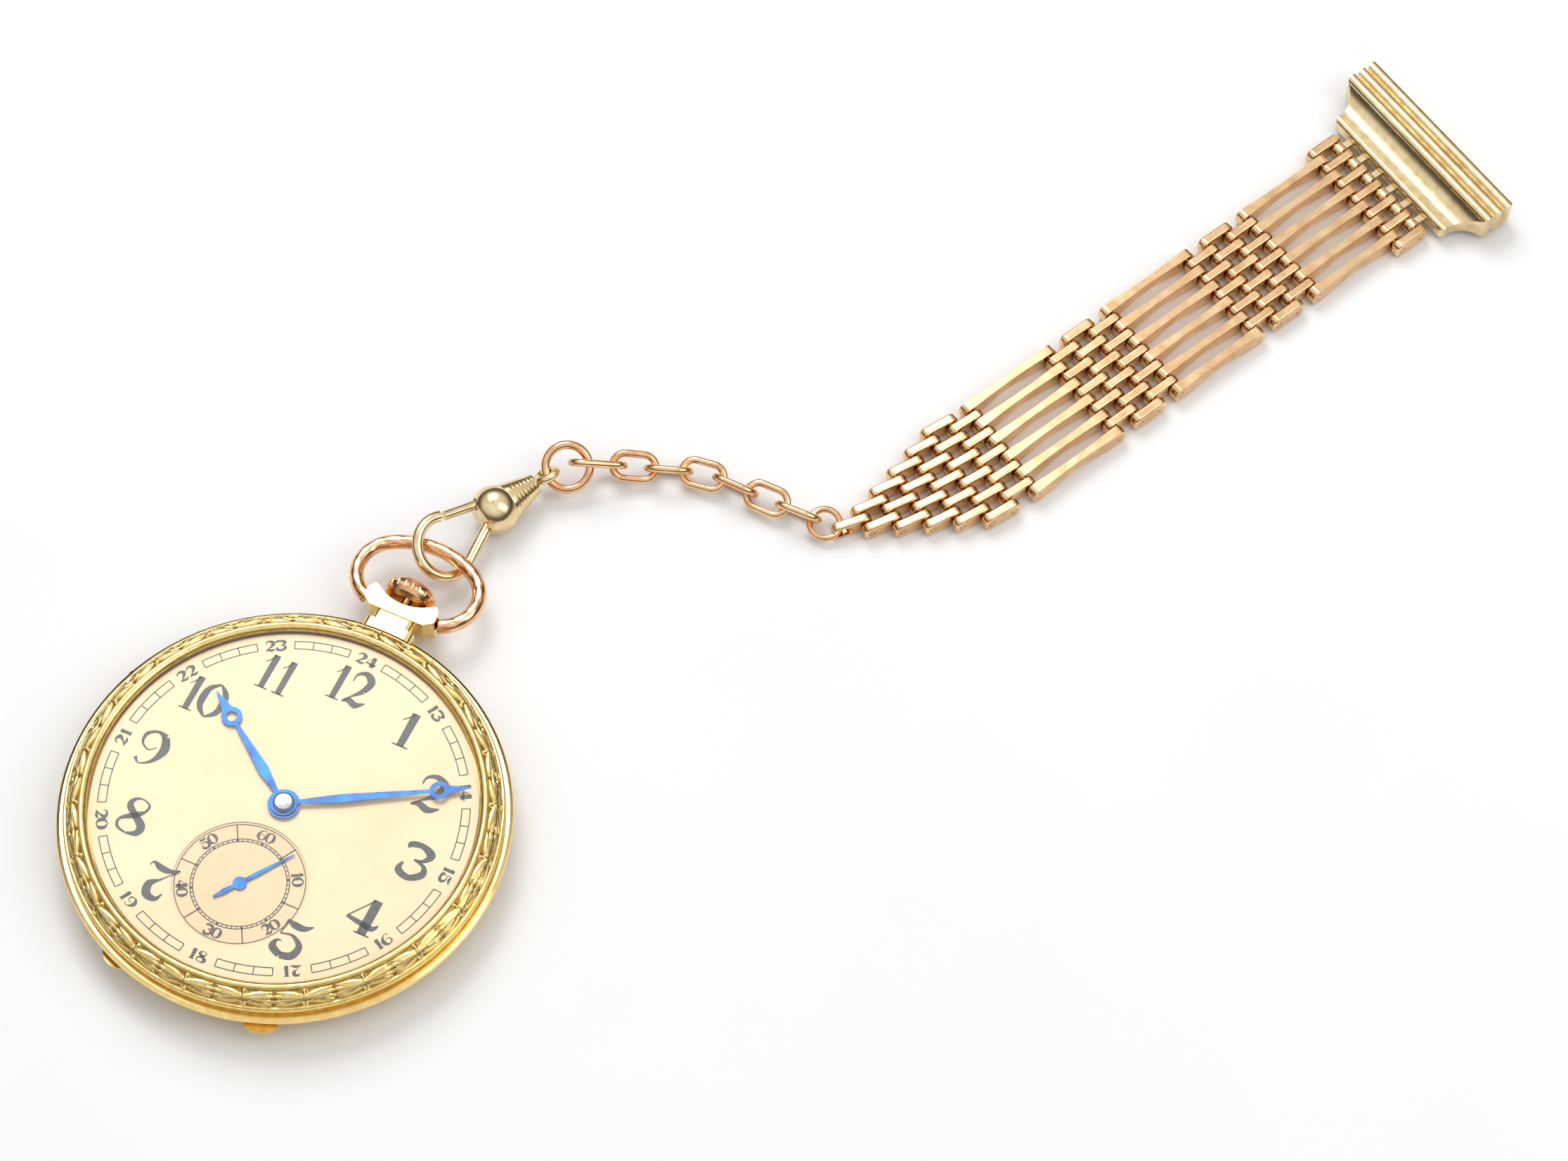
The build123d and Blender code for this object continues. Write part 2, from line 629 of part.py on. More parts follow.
def escape_wheel():
    """Fifteen club teeth on a light spoked rim."""
    points = []
    step = 2 * pi / ESCAPE_TEETH
    for tooth in range(ESCAPE_TEETH):
        angle = tooth * step
        points.append((2.3 * cos(angle), 2.3 * sin(angle)))
        points.append((3.0 * cos(angle + 0.16), 3.0 * sin(angle + 0.16)))
        points.append((2.9 * cos(angle + 0.24), 2.9 * sin(angle + 0.24)))
        points.append((2.3 * cos(angle + 0.13), 2.3 * sin(angle + 0.13)))
    wheel = Pos(0, 0, 3.75) * extrude(make_face(Polyline(*points, close=True)), 0.12)
    window = tube(1.9, 3.75, 3.87, bore=0.6)
    for index in range(4):
        window -= Rot(0, 0, 90 * index) * block(0, 3, -0.16, 0.16, 3.75, 3.87)
    pinion = toothed(ESCAPE_LEAVES, FOURTH_MODULE, 2.85, 3.3, PHASES["escape_pinion"], 0.15)
    return Pos(*ESCAPE, 0) * (wheel - window + pinion) + arbor(ESCAPE, radius=0.24, pivot_r=0.15)


def pallet_fork():
    """Anchor with two stones, a lever and its fork, pointing at the balance staff."""
    lever = degrees(atan2(BALANCE[1] - PALLET[1], BALANCE[0] - PALLET[0]))
    reach = hypot(BALANCE[0] - PALLET[0], BALANCE[1] - PALLET[1])
    z0, z1 = 3.75, 3.87
    fork = block(0, reach - 1.0, -0.14, 0.14, z0, z1)
    fork += block(reach - 1.1, reach - 0.62, -0.42, 0.42, z0, z1)
    fork -= block(reach - 0.85, reach, -0.16, 0.16, z0, z1)
    for side in (-1, 1):
        fork += Rot(0, 0, side * 68) * block(0, 1.9, -0.14, 0.14, z0, z1)
        fork += Rot(0, 0, side * 68) * (Pos(1.75, -side * 0.2, 0) * block(-0.14, 0.14, -0.3, 0.1, z0, z1))
    fork += tube(0.3, z0, z1)
    fork = Pos(PALLET[0], PALLET[1], 0) * Rot(0, 0, lever) * fork
    return fork + arbor(PALLET, 3.32, 4.9, 3.56, 0.2, 0.15)


def balance_wheel():
    rim = tube(5.2, 2.62, 3.1, bore=4.6)
    spokes = block(-4.8, 4.8, -0.35, 0.35, 2.75, 2.95) + tube(0.8, 2.75, 2.95)
    for index in range(12):
        turn = radians(15 + 30 * index)
        screw = rod(
            Vector(5.1 * cos(turn), 5.1 * sin(turn), 2.86), Vector(5.5 * cos(turn), 5.5 * sin(turn), 2.86), 0.2
        )
        rim += screw
    roller = tube(1.05, 3.5, 3.62)
    staff = tube(0.3, 2.35, 4.05) + tube(0.2, 1.6, 4.9)
    return Pos(*BALANCE, 0) * (rim + spokes + roller + staff)


def hairspring():
    """Flat spiral between the balance and its cock."""
    spring = None
    start, gap = 0.62, 0.3
    for half in range(13):
        bow_r = start + half * gap / 2
        centre_x = 0 if half % 2 == 0 else gap / 2
        ring = tube(bow_r + 0.05, 2.42, 2.54, bore=bow_r - 0.05, x=centre_x)
        side = block(-5, 5, 0, 5, 2.3, 2.7) if half % 2 == 0 else block(-5, 5, -5, 0, 2.3, 2.7)
        piece = ring & side
        spring = piece if spring is None else spring + piece
    collet = tube(0.67, 2.42, 2.54, bore=0.3)
    return Pos(*BALANCE, 0) * (spring + collet)


def crown_wheel():
    wheel = toothed(CROWN_TEETH, WINDING_MODULE, 1.95, 2.22, CROWN_PHASE) - tube(0.76, 1.9, 2.3)
    return Pos(*CROWN_WHEEL, 0) * wheel


def ratchet_wheel():
    wheel = toothed(RATCHET_TEETH, WINDING_MODULE, 1.95, 2.22, 0.0) - tube(1.0, 1.9, 2.3)
    return Pos(*BARREL, 0) * wheel


CROWN_PHASE = meshing_phase(BARREL, RATCHET_TEETH, 0, CROWN_WHEEL, CROWN_TEETH)


def click():
    """Pawl whose nose points at the ratchet's teeth."""
    away = degrees(atan2(BARREL[1] - CLICK[1], BARREL[0] - CLICK[0]))
    nose = make_face(Polyline((-0.9, -0.8), (1.55, 0.1), (1.55, 0.35), (-0.6, 0.9), close=True))
    body = Pos(0, 0, 1.95) * extrude(nose, 0.25) + tube(0.95, 1.95, 2.2)
    body -= tube(0.45 + RUN, 1.95, 2.2)
    return Pos(*CLICK, 0) * Rot(0, 0, away) * body


def winding_pinion():
    """Free on the round of the stem; its ratchet face meets the clutch."""
    blank = toothed(16, 0.18, 0, 1.4, 0.0, 0.2) - tube(STEM_R + RUN, 0, 1.4)
    return Plane(origin=(0, 14.9, STEM_Z), z_dir=(0, 1, 0)).location * blank


def clutch_wheel():
    """Slides on the square of the stem."""
    body = tube(1.25, 0, 0.6) + tube(0.95, 0.6, 1.1) + tube(1.25, 1.1, 1.7)
    body -= Pos(0, 0, 0.85) * Box(0.84, 0.84, 1.8)
    return Plane(origin=(0, 13.0, STEM_Z), z_dir=(0, 1, 0)).location * body


# ---------------------------------------------------------------- motion work, dial and hands
def cannon_pinion():
    leaves = toothed(CANNON_TEETH, MOTION_MODULE, 5.5, 5.7, 0.0, 0.15)
    return leaves + tube(0.66, 5.45, 7.1) - tube(0.42, 5.4, 7.1)


def minute_wheel():
    wheel = toothed(MINUTE_TEETH, MOTION_MODULE, 5.5, 5.66, PHASES["minute_wheel"])
    pinion = toothed(MINUTE_LEAVES, HOUR_MODULE, 5.66, 5.92, 0.0, 0.15)
    return Pos(*MINUTE_STUD, 0) * (wheel + pinion - tube(0.3 + RUN, 5.4, 6.0))


def hour_wheel():
    wheel = toothed(HOUR_TEETH, HOUR_MODULE, 5.76, 5.93, PHASES["hour_wheel"])
    return wheel + tube(1.15, 5.76, 6.85) - tube(0.72, 5.7, 6.9)


def dial():
    plate = tube(DIAL_R, DIAL_Z - DIAL_THICK, DIAL_Z)
    plate -= tube(SECONDS_R, DIAL_Z - SECONDS_SINK, DIAL_Z, y=SECONDS_Y)
    plate -= tube(1.25, DIAL_Z - DIAL_THICK, DIAL_Z)
    return plate - tube(0.34, DIAL_Z - DIAL_THICK, DIAL_Z, y=SECONDS_Y)


def pointer(length, ring_at, ring_r, boss_r, leaf, tip_wide):
    """A hand along +Y: boss, leaf-shaped stem, pierced ring and pointed tip, as a flat outline."""
    stem_end = ring_at - ring_r + 0.15
    half = ((0.22, boss_r * 0.8), (leaf, boss_r + (stem_end - boss_r) * 0.32), (0.2, stem_end))
    right = [(x, y) for x, y in half]
    left = [(-x, y) for x, y in reversed(half)]
    face = make_face(Polyline(*(right + left), close=True)) + Circle(boss_r)
    face += Pos(0, ring_at) * Circle(ring_r)
    tip = ((tip_wide, ring_at + ring_r * 0.8), (0, length), (-tip_wide, ring_at + ring_r * 0.8))
    face += make_face(Polyline(*tip, close=True))
    return face - Pos(0, ring_at) * Circle(ring_r * 0.52)


HOUR_ANGLE = 305.0  # clock azimuths at rest: ten past ten
MINUTE_ANGLE = 59.6
SECONDS_ANGLE = 34.5


def hour_hand():
    face = pointer(15.9, 12.2, 1.15, 1.75, 0.62, 0.62) - Circle(1.15)
    return Rot(0, 0, -HOUR_ANGLE) * Pos(0, 0, 6.68) * extrude(face, 0.14)


def minute_hand():
    """Minute hand with its polished cap."""
    face = pointer(20.2, 16.7, 1.05, 1.45, 0.5, 0.55) - Circle(0.66)
    hand = Rot(0, 0, -MINUTE_ANGLE) * Pos(0, 0, 6.95) * extrude(face, 0.1)
    cap = turned(((0.66, 7.04), (1.15, 7.05), (1.15, 7.28), (0.9, 7.42), (0.4, 7.48), (0, 7.48), (0, 7.14), (0.66, 7.14)))
    return hand + cap


def seconds_hand():
    half = ((0.14, 0.4), (0.3, -1.9), (0.1, -3.2))
    tail = make_face(Polyline(*([(x, y) for x, y in half] + [(-x, y) for x, y in reversed(half)]), close=True))
    needle = make_face(Polyline((0.2, 0), (0.24, 2.2), (0.06, 6.6), (-0.06, 6.6), (-0.24, 2.2), (-0.2, 0), close=True))
    face = tail + needle + Circle(0.75)
    hand = Pos(0, 0, 6.46) * extrude(face, 0.08) + tube(0.3, 6.42, 6.6)
    hand -= tube(0.22, 6.3, 6.52)
    return Pos(*FOURTH, 0) * Rot(0, 0, -SECONDS_ANGLE) * hand


# ---------------------------------------------------------------- swivel
SWIVEL_AXIS = heading(SWIVEL_HEADING)
BALL = Vector(*SWIVEL_POS)


def swivel_plane():
    """Local frame of the swivel: Z runs from the ball to the cone."""
    return Plane(origin=BALL, x_dir=(0, 0, 1), z_dir=SWIVEL_AXIS)


def hook_point(u, w):
    """A point in the plane of the hook, from the ball's centre."""
    return BALL + HOOK_U * u + HOOK_W * w


HOOK_CENTRE = (7.75, -0.2)
HOOK_R = 3.4
HOOK_TIP_TURN = 112.0  # the curl ends this far round from straight ahead, on the gate's side
GATE_ROOT = (2.35, 2.1)


def hook_curl(turn):
    """A point on the hook's round end; turn is 0 straight ahead and positive towards the gate."""
    return hook_point(
        HOOK_CENTRE[0] + HOOK_R * cos(radians(turn)), HOOK_CENTRE[1] + HOOK_R * sin(radians(turn))
    )


def swivel_hook():
    """Bent wire: a straight leg from the ball, then a round curl back towards the gate."""
    leg_turn = -118.0
    start = hook_curl(leg_turn)
    outward = start - hook_point(*HOOK_CENTRE)
    section = Plane(origin=start, x_dir=outward, z_dir=hook_normal().cross(outward)) * Circle(HOOK_WIRE_R)
    spindle = Axis(hook_point(*HOOK_CENTRE), hook_normal())
    curl = revolve(section, spindle, HOOK_TIP_TURN - leg_turn)
    leg = rod(hook_point(1.7, -0.95), hook_curl(leg_turn), HOOK_WIRE_R)
    elbow = Pos(*hook_curl(leg_turn)) * Sphere(HOOK_WIRE_R)
    return curl + leg + elbow


def swivel_body():
    """Ball with a gate slot, running into a grooved cone."""
    profile = [(0, -2.0), (1.96, -2.0)]
    ball = revolve(
        make_face(
            ThreePointArc((1.96, 0, -2.0), (BALL_R, 0, 0), (2.25, 0, 1.66))
            + Polyline((2.25, 0, 1.66), (2.2, 0, 2.0), (1.2, 0, 5.5), (0, 0, 5.5), (0, 0, -2.0), (1.96, 0, -2.0))
        ),
        Axis.Z,
        360,
    )
    for index in range(7):
        height = 2.2 + index * 0.5
        radius = 2.2 - (height - 2.0) / 3.5
        ball -= Pos(0, 0, height) * Torus(radius + 0.05, 0.15)
    body = swivel_plane().location * ball
    root, tip = gate_pivot(), hook_curl(HOOK_TIP_TURN + 10)
    body -= rod(root, tip, 0.68)
    body -= rod(root - hook_normal() * 0.7, root + hook_normal() * 0.7, 0.85)
    body -= swivel_hook()
    bore = rod(BALL + SWIVEL_AXIS * 4.6, BALL + SWIVEL_AXIS * 6.0, 0.45 + RUN)
    chamber = rod(BALL + SWIVEL_AXIS * 3.6, BALL + SWIVEL_AXIS * 4.6, 0.9)
    gate_pin = rod(gate_pivot() - hook_normal() * 3.2, gate_pivot() + hook_normal() * 3.2, 0.3)
    return body - bore - chamber + (gate_pin & (Pos(*BALL) * Sphere(BALL_R + 0.12)))


def hook_normal():
    return HOOK_U.cross(HOOK_W).normalized()


def gate_pivot():
    return hook_point(GATE_ROOT[0] - 1.3, GATE_ROOT[1] - 0.55)


def swivel_gate():
    """Sprung lever that closes the mouth of the hook."""
    tip = hook_curl(HOOK_TIP_TURN + 10)
    root = gate_pivot()
    lever = rod(root, tip, 0.55)
    eye = Plane(origin=root, z_dir=hook_normal()).location * Cylinder(0.68, 1.2)
    lever += eye
    bore = Plane(origin=root, z_dir=hook_normal()).location * Cylinder(0.3 + RUN, 3)
    return lever - bore


EYE_CENTRE = BALL + SWIVEL_AXIS * 7.22
EYE_R = 1.15
EYE_WIRE_R = 0.47


def swivel_eye():
    """Loop with a headed shank that turns in the cone."""
    side = FACE.cross(SWIVEL_AXIS).normalized() + FACE * 0.4
    side = (side - SWIVEL_AXIS * side.dot(SWIVEL_AXIS)).normalized()
    loop = Plane(origin=EYE_CENTRE, x_dir=SWIVEL_AXIS, z_dir=side).location * Torus(EYE_R, EYE_WIRE_R)
    shank = rod(BALL + SWIVEL_AXIS * 3.9, EYE_CENTRE - SWIVEL_AXIS * EYE_R, 0.45)
    head = rod(BALL + SWIVEL_AXIS * 3.75, BALL + SWIVEL_AXIS * 4.4, 0.8)
    return loop + shank + head


# ---------------------------------------------------------------- chain
def ring(centre, normal, radius, wire_r):
    return Plane(origin=centre, z_dir=normal).location * Torus(radius, wire_r)


def oval_link(centre, along, across, half):
    """A soldered oval link: two half rings and two straight runs."""
    straight = half - LINK_END_R
    half_ring = Torus(LINK_END_R, CHAIN_WIRE_R)
    wire = Pos(straight, 0, 0) * (half_ring & block(0, 3, -3, 3, -1, 1))
    wire += Pos(-straight, 0, 0) * (half_ring & block(-3, 0, -3, 3, -1, 1))
    for side in (-LINK_END_R, LINK_END_R):
        wire += rod(Vector(-straight, side, 0), Vector(straight, side, 0), CHAIN_WIRE_R)
    return Plane(origin=centre, x_dir=along, z_dir=along.cross(across)).location * wire


BIG_RING_POS = EYE_CENTRE + Vector(0.689, 0.709, 0.152).normalized() * BIG_RING_R


def chain():
    """Centre, direction, width direction and half length of each link, then the small ring's centre."""
    links = []
    away = heading(LINK_HEADINGS[0] + 5)
    away = (away - FACE * away.dot(FACE)).normalized()
    end = BIG_RING_POS + away * BIG_RING_R
    tight = BIG_WIRE_R + CHAIN_WIRE_R + FIT
    for index, (angle, half) in enumerate(zip(LINK_HEADINGS, LINK_HALVES)):
        reach = 2 * half - tight - LINK_SLACKS[index]
        drop = 0.75 * (CHAIN_Z - end.Z) / reach
        along = (heading(angle) + Vector(0, 0, drop)).normalized()
        lean = (FACE - along * FACE.dot(along)).normalized()
        across = lean if index % 2 == 0 else lean.cross(along).normalized()
        centre = end + along * (reach - half)
        links.append((centre, along, across, half))
        end = centre + along * half
        tight = 2 * CHAIN_WIRE_R + FIT
    back = (end - FOB_START).normalized()
    back = (back - SMALL_FACE * (back.dot(SMALL_FACE) / SMALL_FACE.dot(SMALL_FACE))).normalized()
    return links, FOB_START + back * SMALL_RING_R


# ---------------------------------------------------------------- fob
def fob_pins():
    """Centre and facing of every pin, from the tip to the clasp."""
    spot = FOB_START
    pins = []
    for index in range(len(ROW_COUNTS) + 1):
        facing = PIN_FACINGS[index] if index < len(PIN_FACINGS) else FOB_FACING
        pins.append((spot, facing))
        if index < len(ROW_COUNTS):
            length = GATE_PITCH if index in GATE_ROWS else PITCH
            angle = ROW_HEADINGS[index] if index < len(ROW_HEADINGS) else FOB_HEADING
            spot = spot + heading(angle) * length
    return pins


PINS = fob_pins()


def brick():
    """A short link, before it is pierced: a rounded bar on edge."""
    side = RectangleRounded(PITCH + 2 * LINK_NOSE, LINK_TALL, LINK_NOSE - 0.05)
    body = extrude(Plane.XZ * side, LINK_WIDE / 2, both=True)
    return fillet(body.edges().group_by(Axis.Y)[0] + body.edges().group_by(Axis.Y)[-1], 0.3)


def gate():
    """A long link, before it is pierced: two eyes joined by a waisted bar."""
    half = GATE_PITCH / 2
    side = Plane.XZ * RectangleRounded(GATE_PITCH + 2 * LINK_NOSE, LINK_TALL, LINK_NOSE - 0.05)
    waist = make_face(
        [
            Line((-half - LINK_NOSE, -LINK_WIDE / 2), (-half - LINK_NOSE, LINK_WIDE / 2)),
            Line((-half - LINK_NOSE, LINK_WIDE / 2), (-half + 0.6, LINK_WIDE / 2)),
            ThreePointArc((-half + 0.6, LINK_WIDE / 2), (0, 0.4), (half - 0.6, LINK_WIDE / 2)),
            Line((half - 0.6, LINK_WIDE / 2), (half + LINK_NOSE, LINK_WIDE / 2)),
            Line((half + LINK_NOSE, LINK_WIDE / 2), (half + LINK_NOSE, -LINK_WIDE / 2)),
            Line((half + LINK_NOSE, -LINK_WIDE / 2), (half - 0.6, -LINK_WIDE / 2)),
            ThreePointArc((half - 0.6, -LINK_WIDE / 2), (0, -0.4), (-half + 0.6, -LINK_WIDE / 2)),
            Line((-half + 0.6, -LINK_WIDE / 2), (-half - LINK_NOSE, -LINK_WIDE / 2)),
        ]
    )
    body = extrude(side, 2, both=True) & (Pos(0, 0, -2) * extrude(waist, 4))
    underside = Plane.XZ * make_face(
        [ThreePointArc((-half + 1.2, -LINK_TALL / 2 - 0.01), (0, -0.45), (half - 1.2, -LINK_TALL / 2 - 0.01)),
         Line((half - 1.2, -LINK_TALL / 2 - 0.01), (-half + 1.2, -LINK_TALL / 2 - 0.01))]
    )
    return body - extrude(underside, 2, both=True)


def across(facing):
    """Unit vector along a pin."""
    return heading(facing - 90)


def offsets(count):
    """Positions of a row's links along its pins."""
    return [(2 * index - count + 1) * LINK_STEP for index in range(count)]


def fob_row(row, brick_solid, gate_solid):
    """The links of one row, each placed between its two pins and drilled along them."""
    link = gate_solid if row in GATE_ROWS else brick_solid
    (start, facing_a), (end, facing_b) = PINS[row], PINS[row + 1]
    placed = []
    drills = [pin_rod(start, facing_a, 9.5, FOB_PIN_R + RUN), pin_rod(end, facing_b, 9.5, FOB_PIN_R + RUN)]
    if row == 0:
        end_ring = ring(chain()[1], SMALL_FACE, SMALL_RING_R, SMALL_WIRE_R + RUN)
        drills[0] = Pos(*start) * Rot(0, 0, ROW_HEADINGS[0]) * ring_slot() + end_ring
    for offset in offsets(ROW_COUNTS[row]):
        a = start + across(facing_a) * offset
        b = end + across(facing_b) * offset
        turn = degrees(atan2(b.Y - a.Y, b.X - a.X))
        middle = (a + b) * 0.5
        here = Pos(middle.X, middle.Y, middle.Z) * Rot(0, 0, turn) * link
        placed.append(here - drills[0] - drills[1])
    return placed


def ring_slot():
    """The tip link's opening, long enough for the chain's end ring to swing in it."""
    slot = Plane.XZ * SlotCenterToCenter(0.7, 1.4)
    return Pos(0.4, 0, 0) * extrude(slot, 1, both=True)


def pin_rod(spot, facing, half, radius):
    """A cylinder lying along a pin."""
    return rod(spot - across(facing) * half, spot + across(facing) * half, radius)


def fob_pin(index):
    """The rivet pin at the far end of a row."""
    spot, facing = PINS[index]
    before = ROW_COUNTS[index - 1]
    after = ROW_COUNTS[index] if index < len(ROW_COUNTS) else 6
    half = (max(before, after) - 1) * LINK_STEP + LINK_WIDE / 2
    return pin_rod(spot, facing, half, FOB_PIN_R)


FOB_NODES = {
    "fob_tip": (0, 1, 2, 3, 4),
    "fob_panel_1": (5, 6),
    "fob_gates_1": (7,),
    "fob_panel_2": (8, 9, 10),
    "fob_gates_2": (11,),
    "fob_panel_3": (12, 13, 14),
    "fob_gates_3": (15,),
    "fob_end_row": (16,),
}


def clasp_frame():
    """Local frame of the clasp: X away from the fob, Y along the bar."""
    spot, facing = PINS[-1]
    return Plane(origin=(spot.X, spot.Y, 0), x_dir=heading(facing), z_dir=(0, 0, 1))


CLASP_FRONT = 1.7  # from the last pin to the front of the moulding


def clasp_bar():
    """Moulded cap: a half-round, a cove and three reeds, returned round both ends."""
    reed = (CLASP_DEEP - 3.95) / 3
    x0 = CLASP_FRONT
    top, front_z = 4.2, 2.5
    outline = [
        Line((x0, 0, 0.9), (x0, 0, 1.7)),
        ThreePointArc((x0, 0, 1.7), (x0 + 0.3, 0, front_z), (x0 + 1.0, 0, 2.45)),
        ThreePointArc((x0 + 1.0, 0, 2.45), (x0 + 2.9, 0, 2.75), (x0 + 3.95, 0, 3.75)),
    ]
    start = x0 + 3.95
    for index in range(3):
        a = start + index * reed
        outline.append(ThreePointArc((a, 0, 3.75), (a + reed / 2, 0, top + 0.1), (a + reed, 0, 3.75)))
    outline.append(Line((x0 + CLASP_DEEP, 0, 3.75), (x0 + CLASP_DEEP, 0, 0.9)))
    outline.append(Line((x0 + CLASP_DEEP, 0, 0.9), (x0, 0, 0.9)))
    run = extrude(make_face(outline), CLASP_LONG, both=True)
    half_neck, half_long = CLASP_NECK / 2, CLASP_LONG / 2
    edge = [
        Line((x0, -half_neck + 0.6), (x0, half_neck - 0.6)),
        ThreePointArc((x0, half_neck - 0.6), (x0 + 0.4, half_neck), (x0 + 1.0, half_neck)),
        ThreePointArc((x0 + 1.0, half_neck), (x0 + 2.9, half_neck + 0.8), (x0 + 3.95, half_long - 0.4)),
    ]
    for index in range(3):
        a = start + index * reed
        edge.append(ThreePointArc((a, half_long - 0.4), (a + reed / 2, half_long), (a + reed, half_long - 0.4)))
    far = x0 + CLASP_DEEP
    edge.append(Line((far, half_long - 0.4), (far, -half_long + 0.4)))
    for index in (2, 1, 0):
        a = start + index * reed
        edge.append(ThreePointArc((a + reed, -half_long + 0.4), (a + reed / 2, -half_long), (a, -half_long + 0.4)))
    edge.append(ThreePointArc((x0 + 3.95, -half_long + 0.4), (x0 + 2.9, -half_neck - 0.8), (x0 + 1.0, -half_neck)))
    edge.append(ThreePointArc((x0 + 1.0, -half_neck), (x0 + 0.4, -half_neck), (x0, -half_neck + 0.6)))
    plan = extrude(make_face(edge), 6)
    bar = run & plan
    bar -= block(x0 + 1.4, x0 + CLASP_DEEP - 0.7, -9.0, 9.0, 0.5, 2.0)
    bar -= block(x0 + 4.4, x0 + CLASP_DEEP - 0.7, -11.0, 11.0, 0.5, 3.1)
    hinge = Plane(origin=(x0 + CLASP_DEEP - 1.7, 0, 1.45), z_dir=(0, 1, 0))
    bar += hinge.location * Cylinder(0.35, 22.4)
    for offset in offsets(6):
        bar += knuckle_arm(offset)
    return clasp_frame().location * bar


def knuckle_arm(offset):
    """A pierced lug that takes the last pin."""
    lug = Plane(origin=(0, offset, FOB_Z), z_dir=(0, 1, 0)).location * Cylinder(0.85, LINK_WIDE - 0.1)
    lug += block(0, CLASP_FRONT + 0.3, offset - 0.4, offset + 0.4, FOB_Z - 0.2, FOB_Z + 0.6)
    return lug - Plane(origin=(0, offset, FOB_Z), z_dir=(0, 1, 0)).location * Cylinder(FOB_PIN_R + 0.06, 2)


def clasp_clip():
    """Sprung tongue under the clasp, which grips the edge of a pocket."""
    x0 = CLASP_FRONT
    hinge_x = x0 + CLASP_DEEP - 1.7
    tongue = block(x0 + 0.3, hinge_x + 0.9, -8.0, 8.0, 0.15, 0.6)
    tongue = fillet(tongue.edges().filter_by(Axis.Z), 1.0)
    for side in (-6.0, 6.0):
        hinge = Plane(origin=(hinge_x, side, 1.45), z_dir=(0, 1, 0))
        tongue += hinge.location * Cylinder(0.75, 1.6) + block(
            hinge_x - 0.5, hinge_x + 0.5, side - 0.8, side + 0.8, 0.3, 1.4
        )
        tongue -= hinge.location * Cylinder(0.35 + RUN, 3)
    return clasp_frame().location * tongue


# ---------------------------------------------------------------- write every node
def build_watch():
    save("case_band", case_band())
    save("bezel", bezel())
    save("crystal", crystal())
    save("case_back", case_back())
    save("cuvette", cuvette())
    save("hinge_pin", hinge_pin())
    save("crown", crown())
    save("winding_stem", stem())
    save("bow", bow())
    save("mainplate", mainplate())
    save("barrel_bridge", barrel_bridge())
    save("train_bridge", train_bridge())
    save("balance_cock", balance_cock())
    save("pallet_cock", pallet_cock())
    save("movement_screws", *movement_screws())
    save("barrel", barrel())
    save("barrel_arbor", barrel_arbor())
    save("mainspring", mainspring())
    save("centre_wheel", centre_wheel())
    save("third_wheel", third_wheel())
    save("fourth_wheel", fourth_wheel())
    save("escape_wheel", escape_wheel())
    save("pallet_fork", pallet_fork())
    save("balance_wheel", balance_wheel())
    save("hairspring", hairspring())
    save("crown_wheel", crown_wheel())
    save("ratchet_wheel", ratchet_wheel())
    save("click", click())
    save("winding_pinion", winding_pinion())
    save("clutch_wheel", clutch_wheel())
    save("cannon_pinion", cannon_pinion())
    save("minute_wheel", minute_wheel())
    save("hour_wheel", hour_wheel())
    save("dial", dial())
    save("hour_hand", hour_hand())
    save("minute_hand", minute_hand())
    save("seconds_hand", seconds_hand())


def build_chain():
    save("swivel_body", swivel_body())
    save("swivel_hook", swivel_hook())
    save("swivel_gate", swivel_gate())
    save("swivel_eye", swivel_eye())
    save("large_ring", ring(BIG_RING_POS, FACE, BIG_RING_R, BIG_WIRE_R))
    links, small = chain()
    for index, link in enumerate(links):
        save(f"chain_link_{index + 1}", oval_link(*link))
    save("small_ring", ring(small, SMALL_FACE, SMALL_RING_R, SMALL_WIRE_R))
    brick_solid, gate_solid = brick(), gate()
    for name, rows in FOB_NODES.items():
        solids = []
        for row in rows:
            solids += fob_row(row, brick_solid, gate_solid)
            solids.append(fob_pin(row + 1))
        save(name, *solids)
    save("fob_clasp", clasp_bar())
    save("fob_clip", clasp_clip())


build_watch()
build_chain()
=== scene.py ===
"""The gold pocket watch, its chain and its gate-link fob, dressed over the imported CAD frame.

Metres, in the part's own frame: z = 0 is the plane the watch lies on and +Y points to 12 o'clock.
"""

import json
from math import cos, pi, radians, sin

import bpy
from mathutils import Matrix, Vector

